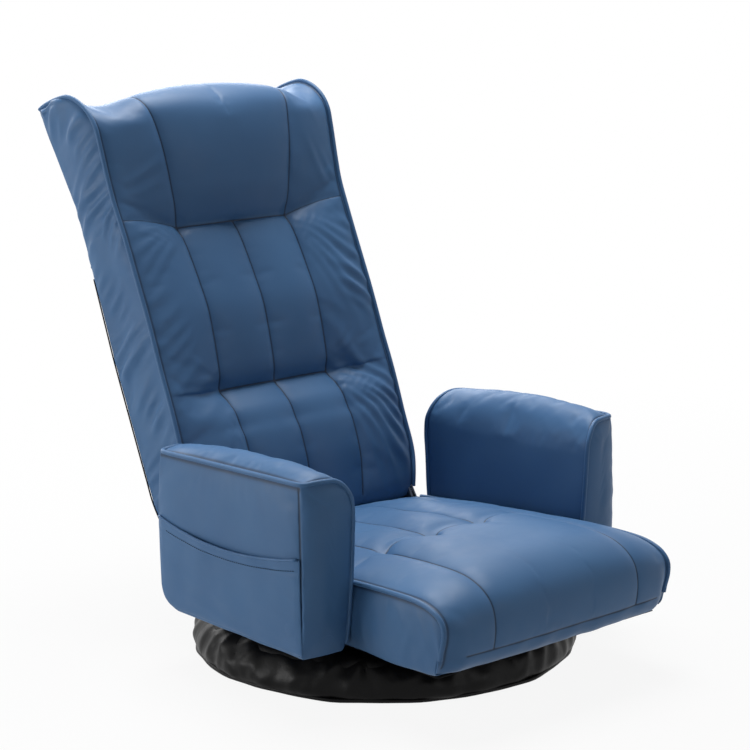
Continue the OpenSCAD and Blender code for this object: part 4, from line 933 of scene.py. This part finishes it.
def makeArm(name, sign):
    sideCells, topCells, seed = arm["sideCells"], arm["topCells"], int(sign > 0)
    m = 2 * (sideCells + topCells)
    rings = []
    for v in np.r_[0, 0.013, 0.022, np.linspace(0.04, 0.985, arm["rows"]), 0.993, 1]:
        x, z = armSection(v)
        rings.append(np.stack([x, armReach(x, z, v), z], 1))
    frontCap, rearCap = armCap(0), armCap(1)
    stack = frontCap[::-1] + rings + rearCap
    first, last = len(frontCap), len(frontCap) + len(rings) - 1
    points = np.array(stack) * [sign, 1, 1]
    n, corner = len(stack), sideCells
    topCols = np.arange(corner, corner + topCells + 1)
    innerCols = np.arange(corner + topCells, 2 * sideCells + topCells + 1)
    seam = np.zeros((n, m))
    seam[first:last + 1, [corner - 1, corner + 1]] = 0.8
    bound = np.r_[topCols[2:], innerCols[1:-1]]
    for row in (first - 1, first + 1, last - 1, last + 1):
        seam[row, bound] = 0.7
    seam[first + 1, 1:corner] = 1
    held = np.zeros((n, m))
    held[first, corner:] = held[last, corner:] = 1
    held[first + 1, :corner + 1] = held[last, :corner] = 1
    held[first:last + 1, corner] = 1
    held[:, 2 * sideCells + topCells:] = 1
    held[:, 0] = 1
    held[:, innerCols] = np.maximum(held[:, innerCols], 0.9)
    held = np.maximum(held, seam > 0)
    obj = cushionSkin("armPad" + name, points * mm, sideCells, topCells)
    seamAttribute(obj, seam.ravel())
    breathe(obj, held.ravel(), arm["air"])
    y, z = points[..., 1], points[..., 2]
    depth = seamGroove(seam, armRelief["seam"])
    depth += armRelief["lumps"] * waves(y + 0.5 * points[..., 0], z, 9 + seed, 120)
    # gathers under the piping of the front and rear panels, and on the top beside it
    line = np.arange(m)[None, :] * 5.5 + 0 * y
    below = np.exp(-np.clip(arm["top"] - 12 - z, 0, 300) / armRelief["drop"])
    panel = np.zeros((n, 1))
    panel[:first - 1] = panel[last + 2:] = 1
    k = np.arange(n)
    near = bell(np.minimum(np.abs(k - first), np.abs(k - last))[:, None] / armRelief["rows"])
    folds = pulls(line, near * 30, 1.57, 15, 5 + seed, 1.5)
    depth += armRelief["panelGather"] * panel * below * near * folds
    onTop = np.zeros((1, m))
    onTop[0, topCols[2:]] = 1
    onTop[0, innerCols[:12]] = np.linspace(1, 0, 12)
    folds = pulls(line, y * 0.3, 1.4, 17, 15 + seed, 1.6)
    depth += armRelief["topGather"] * (1 - panel) * onTop * near * folds
    points = pushOut(obj, depth)
    # piping: up the inner front edge, across the top of the front panel, along the outer top edge, and the
    # same behind
    path = np.vstack([points[first, innerCols[::-1]][2::4], points[first, topCols[::-1]][3::3],
                      points[first:last + 1, corner][3:-3:4], points[last, topCols][1::3],
                      points[last, innerCols][4:-2:4]])
    tube("armPiping" + name, evenly(path, 240), "seat")
    applyModifiers(obj)
    dress(obj, "seat", "blue_leatherette", ("arm_pad_" + name.lower(),))
    print("arm:", name)


pocket = {"mouth": 198.0, "sag": 20.0, "middle": -9.0, "low": 84.0, "front": -170.5, "rear": 140.0,
          "cornerR": 30.0, "bag": 5.4, "mouthBag": 1.8, "clear": 1.2, "thick": 2.2, "hem": 2.0 * mm,
          "hemAt": 0.87, "hemDeep": 0.7, "stitches": 62}
stitchSection = ((0.5, -0.5), (1.0, 0), (0.5, 0.5), (-0.2, 0))  # out of the pocket and up, in mm


def makePocket(name, sign):
    n, m = 46, 70
    v, u = np.meshgrid(np.linspace(0, 1, n), np.linspace(0, 1, m), indexing="ij")
    front, rear, cornerR = pocket["front"], pocket["rear"], pocket["cornerR"]
    y = front + (rear - front) * u
    mouth = pocket["mouth"] + pocket["sag"] * ((y - pocket["middle"]) / 167) ** 2
    into = np.clip((y - rear + cornerR) / cornerR, 0, 1)
    low = pocket["low"] + cornerR * (1 - np.sqrt(1 - into ** 2))
    z = low + (mouth - low) * v
    bag = pocket["bag"] * arch(0.06 + 0.88 * u) ** 0.5 * (0.35 + 0.65 * ease(v, 0, 0.6))
    bag += pocket["mouthBag"] * ease(v, 0.8, 0.2) * arch(u)
    edge = np.clip(np.minimum(v / 0.05, np.minimum(u, 1 - u) / 0.03), 0, 1)
    under = arm["outer"] + arm["outerBulge"] * arch((z - arm["low"]) / 233)
    loose = waves(y, z, 15, 90) * 0.6 + pulls(y, z, 0.1, 30, 17) * 0.6
    x = under + pocket["clear"] + bag * edge + edge * loose
    x -= pocket["hemDeep"] * bell((v - pocket["hemAt"]) / 0.02) * edge
    grid = np.stack([x * sign, y, z], -1)
    obj = openSheet("armPocket" + name, grid * mm)
    applyModifiers(obj, True, pocket["thick"])
    seamAttribute(obj, np.zeros(len(obj.data.vertices)))
    dress(obj, "seat", "blue_leatherette", ("arm_pocket_" + name.lower(),))
    rim = grid[-1, 1:-1] + [0.6 * sign, 0, 0.2]
    tube("pocketHem" + name, rim * mm, "seat", radius=pocket["hem"], sides=8)
    # the sewn line below the mouth, stitch by stitch
    count = pocket["stitches"]
    marks = evenly(grid[int(n * pocket["hemAt"])][2:-2:3], count * 2)
    stitches, faces = [], []
    for k in range(count - 1):
        a = len(stitches)
        for q in marks[2 * k:2 * k + 2]:
            stitches += [(q[0] + dx * sign, q[1], q[2] + dz) for dx, dz in stitchSection]
        faces += [(a + c, a + (c + 1) % 4, a + 4 + (c + 1) % 4, a + 4 + c) for c in range(4)]
        faces += [(a + 3, a + 2, a + 1, a), (a + 4, a + 5, a + 6, a + 7)]
    thread = newObject("pocketStitches" + name, np.array(stitches) * mm, faces, False)
    dress(thread, "seat", "black_cloth")


for armName, armSign in (("Left", 1), ("Right", -1)):
    makeArm(armName, armSign)
    makePocket(armName, armSign)
print("arms done")

baseCover = {"turns": 260, "rows": 96, "outerRows": 52, "radius": 276.0, "foldRadius": 268.0, "folds": 5.0,
             "lumps": 1.8, "sink": 4.0, "seams": 8, "seamDeep": 2.6, "seamWidth": 4.5, "limit": 279.5,
             "top": 71.0, "hem": 3.0, "hemRadius": 273.0}
# section of the puffed cover: outer skin from the hem over the crest to the middle, then the inner skin
baseRows = [
    (252, 0.6), (266, 0.8), (273, 3.5), (277, 11), (277, 21), (273.5, 32), (267, 43), (258, 53), (247, 61),
    (236, 65), (225, 64.5), (212, 60), (198, 54.5), (178, 51.5), (140, 50), (110, 49.5), (104, 48.5),
    (104, 46.5), (140, 46.5), (178, 47), (198, 49), (214, 55), (228, 61), (240, 63), (252, 58), (260, 48),
    (266, 34), (267, 14), (262, 3.2), (252, 2.6)]
# section of the cloth under the base: radius and height
baseClothRows = ((2, 1.6), (130, 1.6), (258, 1.6), (258, 0.2), (130, 0.2), (2, 0.2))


def makeBase():
    rows, turns = evenly(baseRows, baseCover["rows"]), baseCover["turns"]
    n = len(rows)
    angle = np.linspace(0, 2 * math.pi, turns, endpoint=False)
    k = np.arange(n)[:, None] + 0 * angle
    r, z = rows[:, :1] + 0 * angle, rows[:, 1:] + 0 * angle
    outer = k < baseCover["outerRows"]
    fade = np.where(outer, arch(np.clip((k - 4) / 44, 0, 1)) ** 0.4, 0)
    # the angle wraps, so the folds fade out where it does, and the lumps are drawn from the place on the ring
    x, y = r * np.cos(angle), r * np.sin(angle)
    around = baseCover["foldRadius"] * angle + 0 * r
    climb = z + (baseCover["radius"] - r)
    wrap = arch(np.clip(np.minimum(angle, 2 * math.pi - angle) / 0.25, 0, 0.5))
    crumple = wrap * (1 - np.abs(waves(x * 1.2, y * 1.2 + z, 95, 62))) ** 2
    crumple = crumple * (0.4 + 0.6 * waves(x, y, 97, 160))
    folds = 0.9 * crumple + wrap * (
        pulls(climb * 0.8, around, 0.35, 38, 81, 1.6) + 0.9 * pulls(climb, around, -0.7, 58, 83, 2.0)
        + 0.5 * pulls(climb * 0.6, around, 0.1, 17, 85, 2.5) * bell((climb - 15) / 26))
    lumps = baseCover["lumps"] * waves(x, y + z, 91, 110)
    depth = fade * (baseCover["folds"] * folds + lumps - baseCover["sink"])
    # radial seams of the cover's panels
    panel = 2 * math.pi / baseCover["seams"]
    away = np.abs((angle + 0.35 + 0.1 * np.sin(climb / 60)) % panel - panel / 2) * baseCover["foldRadius"]
    depth -= fade * baseCover["seamDeep"] * bell(away / baseCover["seamWidth"])
    r = np.minimum(r + depth * np.where(z > 62, 0.3, 0.9), baseCover["limit"])
    z = np.where(outer & (z > 6), np.minimum(z + depth * np.where(z > 50, 0.5, 0.1), baseCover["top"]), z)
    points = np.stack([r * np.cos(angle), r * np.sin(angle), z], -1)
    obj = newObject("baseCushion", points.reshape(-1, 3) * mm, ringFaces(n, turns) + joinEnds(n, turns))
    seamAttribute(obj, 0.8 * (fade * bell(away / 2.2)).ravel())
    applyModifiers(obj)
    dress(obj, "base", "black_leatherette", ("base_cover",))
    # rolled hem on the floor, a little uneven
    roll = baseCover["hem"]
    wobble = 1.2 * np.sin(7 * angle) + 0.8 * np.sin(17 * angle + 1) + 0.5 * np.sin(29 * angle)
    r = baseCover["hemRadius"] + wobble
    z = roll + 0.6 + 0.7 * (1 + np.sin(11 * angle + 2))
    ring = np.stack([r * np.cos(angle), r * np.sin(angle), z], -1)
    tube("baseHem", ring[::2] * mm, "base", "black_leatherette", roll * mm, closed=True)
    cloth = [[(r0 * math.cos(t), r0 * math.sin(t), z0) for t in angle[::2]] for r0, z0 in baseClothRows]
    count, half = len(baseClothRows), turns // 2
    ends = [tuple(range(half))[::-1], tuple(range((count - 1) * half, count * half))]
    faces = ringFaces(count, half) + ends
    disc = newObject("baseUnderCloth", np.array(cloth).reshape(-1, 3) * mm, faces, False)
    dress(disc, "base", "black_cloth", ("base_bottom_cloth",))


makeBase()
print("base done")

# the cover starts on the seat at these places, (y, z), and ends on the back; a fifth of it goes up each side
hingeCover = {"low": (171.5, 78.0), "high": (171.5, 139.0), "end": (8.0, -2.0), "half": 206.0, "belly": 7.0,
              "fold": 0.2, "bulge": 1.5, "thick": 1.2, "rows": 22, "cells": 60}


def makeHingeCover():
    # closes the wedge behind the seat: up the left side, across the rear and down the right
    n, m = hingeCover["rows"], hingeCover["cells"]
    lean, pivot = back["lean"], np.array(back["pivot"])
    low, high = np.array(hingeCover["low"]), np.array(hingeCover["high"])
    s, w = rearCloth["low"], back["rear"]
    lowEnd = pivot + [s * math.sin(lean) + w * math.cos(lean), s * math.cos(lean) - w * math.sin(lean)]
    highEnd = pivot + hingeCover["end"]
    points = []
    for t in (i / (n - 1) for i in range(n)):
        rear = low + (lowEnd - low) * t + np.array([0.45, -1]) * hingeCover["belly"] * math.sin(math.pi * t)
        top = high + (highEnd - high) * t
        for u in (j / (m - 1) for j in range(m)):
            k = min(1, u / hingeCover["fold"], (1 - u) / hingeCover["fold"])
            x = hingeCover["half"] * min(1, max(-1, (u - 0.5) / 0.3))
            if k < 1:
                x += math.copysign(hingeCover["bulge"] * math.sin(math.pi * k), x)
            points.append((x, *(top + (rear - top) * k)))
    obj = openSheet("hingeCover", np.array(points).reshape(n, m, 3) * mm)
    applyModifiers(obj, False, hingeCover["thick"])
    dress(obj, None, "black_cloth", ("hinge_gusset",))
    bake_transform(obj)


makeHingeCover()
print("hinge cover done")

paleFloor = {"colour": 0.55, "rough": 0.9, "glow": 0.91, "farGlow": 0.09, "fadeFrom": 0.5, "fadeOver": 1.3}


def seenRay(tree):
    # 1 for the rays that show the pale background, 0 for those that would light the chair with it
    rays = addNode(tree, "LightPath", {}).outputs
    mirrored = mathNode(tree, "MAXIMUM", rays["Is Glossy Ray"], rays["Is Transmission Ray"])
    return mathNode(tree, "MAXIMUM", rays["Is Camera Ray"], mirrored)


def makeStage():
    bpy.ops.mesh.primitive_plane_add(size=40, location=(0, 0, -0.0005))
    floor = bpy.context.object
    floor.name = "floor"
    material, tree, shader = startMaterial("paleFloor")
    feed(tree, shader, {"Base Color": (*[paleFloor["colour"]] * 3, 1), "Roughness": paleFloor["rough"],
                        "Specular IOR Level": 0.1})
    glow = addNode(tree, "Emission", {"Strength": 1.0})
    away = addNode(tree, "VectorMath", {0: objectCoords(tree)}, operation="LENGTH").outputs["Value"]
    past = mathNode(tree, "SUBTRACT", away, paleFloor["fadeFrom"])
    fade = mathNode(tree, "DIVIDE", past, paleFloor["fadeOver"], clamp=True)
    share = mathNode(tree, "ADD", mathNode(tree, "MULTIPLY", fade, paleFloor["farGlow"]), paleFloor["glow"])
    mix = addNode(tree, "MixShader", {0: mathNode(tree, "MULTIPLY", seenRay(tree), share),
                                      1: shader.outputs[0], 2: glow.outputs[0]})
    feed(tree, tree.nodes["Material Output"], {"Surface": mix.outputs[0]})
    floor.data.materials.append(material)


# place, aim, width and height of the softbox, watts
lamps = {
    "sideLight": ((-2.7, 1.35, 0.7), (0, 0.15, 0.4), (1.8, 1.0), 40),
    "topLight": ((0.35, 0.8, 3.0), (0, 0.0, 0.2), (1.5, 1.8), 115),
    "backGlow": ((0.9, 3.6, 1.8), (0, 0, 0.3), (4.0, 1.4), 95),
    "frontFill": ((0.7, -3.6, 1.5), (0, 0, 0.4), (2.0, 1.8), 16),
}
# strength of the white world, where it is seen and as light
studioWorld = {"seen": 1.0, "light": 0.05}


def addLamp(name, place, aim, size, power):
    lamp = bpy.data.lights.new(name, "AREA")
    lamp.shape = "RECTANGLE"
    lamp.size, lamp.size_y = size
    lamp.energy = power
    obj = bpy.data.objects.new(name, lamp)
    obj.location = place
    obj.rotation_euler = (Vector(aim) - Vector(place)).to_track_quat("-Z", "Y").to_euler()
    scene.collection.objects.link(obj)


def makeWorld():
    world = bpy.data.worlds.new("studio")
    scene.world = world
    world.use_nodes = True
    tree = world.node_tree
    extra = mathNode(tree, "MULTIPLY", seenRay(tree), studioWorld["seen"] - studioWorld["light"])
    feed(tree, tree.nodes["Background"], {"Color": (1, 1, 1, 1),
                                          "Strength": mathNode(tree, "ADD", extra, studioWorld["light"])})


# degrees, millimetres, and the focal length in pixels of the photo, which is photoWidth across
view = {"azimuth": -41.22, "elevation": 11.99, "distance": 3147.6, "shiftX": -11.5, "shiftZ": 383.0,
        "roll": -0.391, "focalPixels": 2159.0, "photoWidth": 750, "sensor": 36}


def makeCamera():
    az, el, roll = (math.radians(view[k]) for k in ("azimuth", "elevation", "roll"))
    away = Vector((math.sin(az) * math.cos(el), -math.cos(az) * math.cos(el), math.sin(el)))
    right = (-away).cross(Vector((0, 0, 1))).normalized()
    up = right.cross(-away)
    place = away * view["distance"] + right * view["shiftX"] + up * view["shiftZ"]
    camera = bpy.data.cameras.new("photoView")
    camera.sensor_width = view["sensor"]
    camera.lens = view["focalPixels"] / view["photoWidth"] * view["sensor"]
    camera.clip_end = 50
    obj = bpy.data.objects.new("photoView", camera)
    turn = Matrix((right * math.cos(roll) + up * math.sin(roll),
                   up * math.cos(roll) - right * math.sin(roll), away)).transposed()
    obj.matrix_world = Matrix.Translation(place * mm) @ turn.to_4x4()
    scene.collection.objects.link(obj)
    scene.camera = obj


makeStage()
makeWorld()
for lampName, values in lamps.items():
    addLamp(lampName, *values)
makeCamera()
scene.view_settings.view_transform = "Standard"
print("stage done")
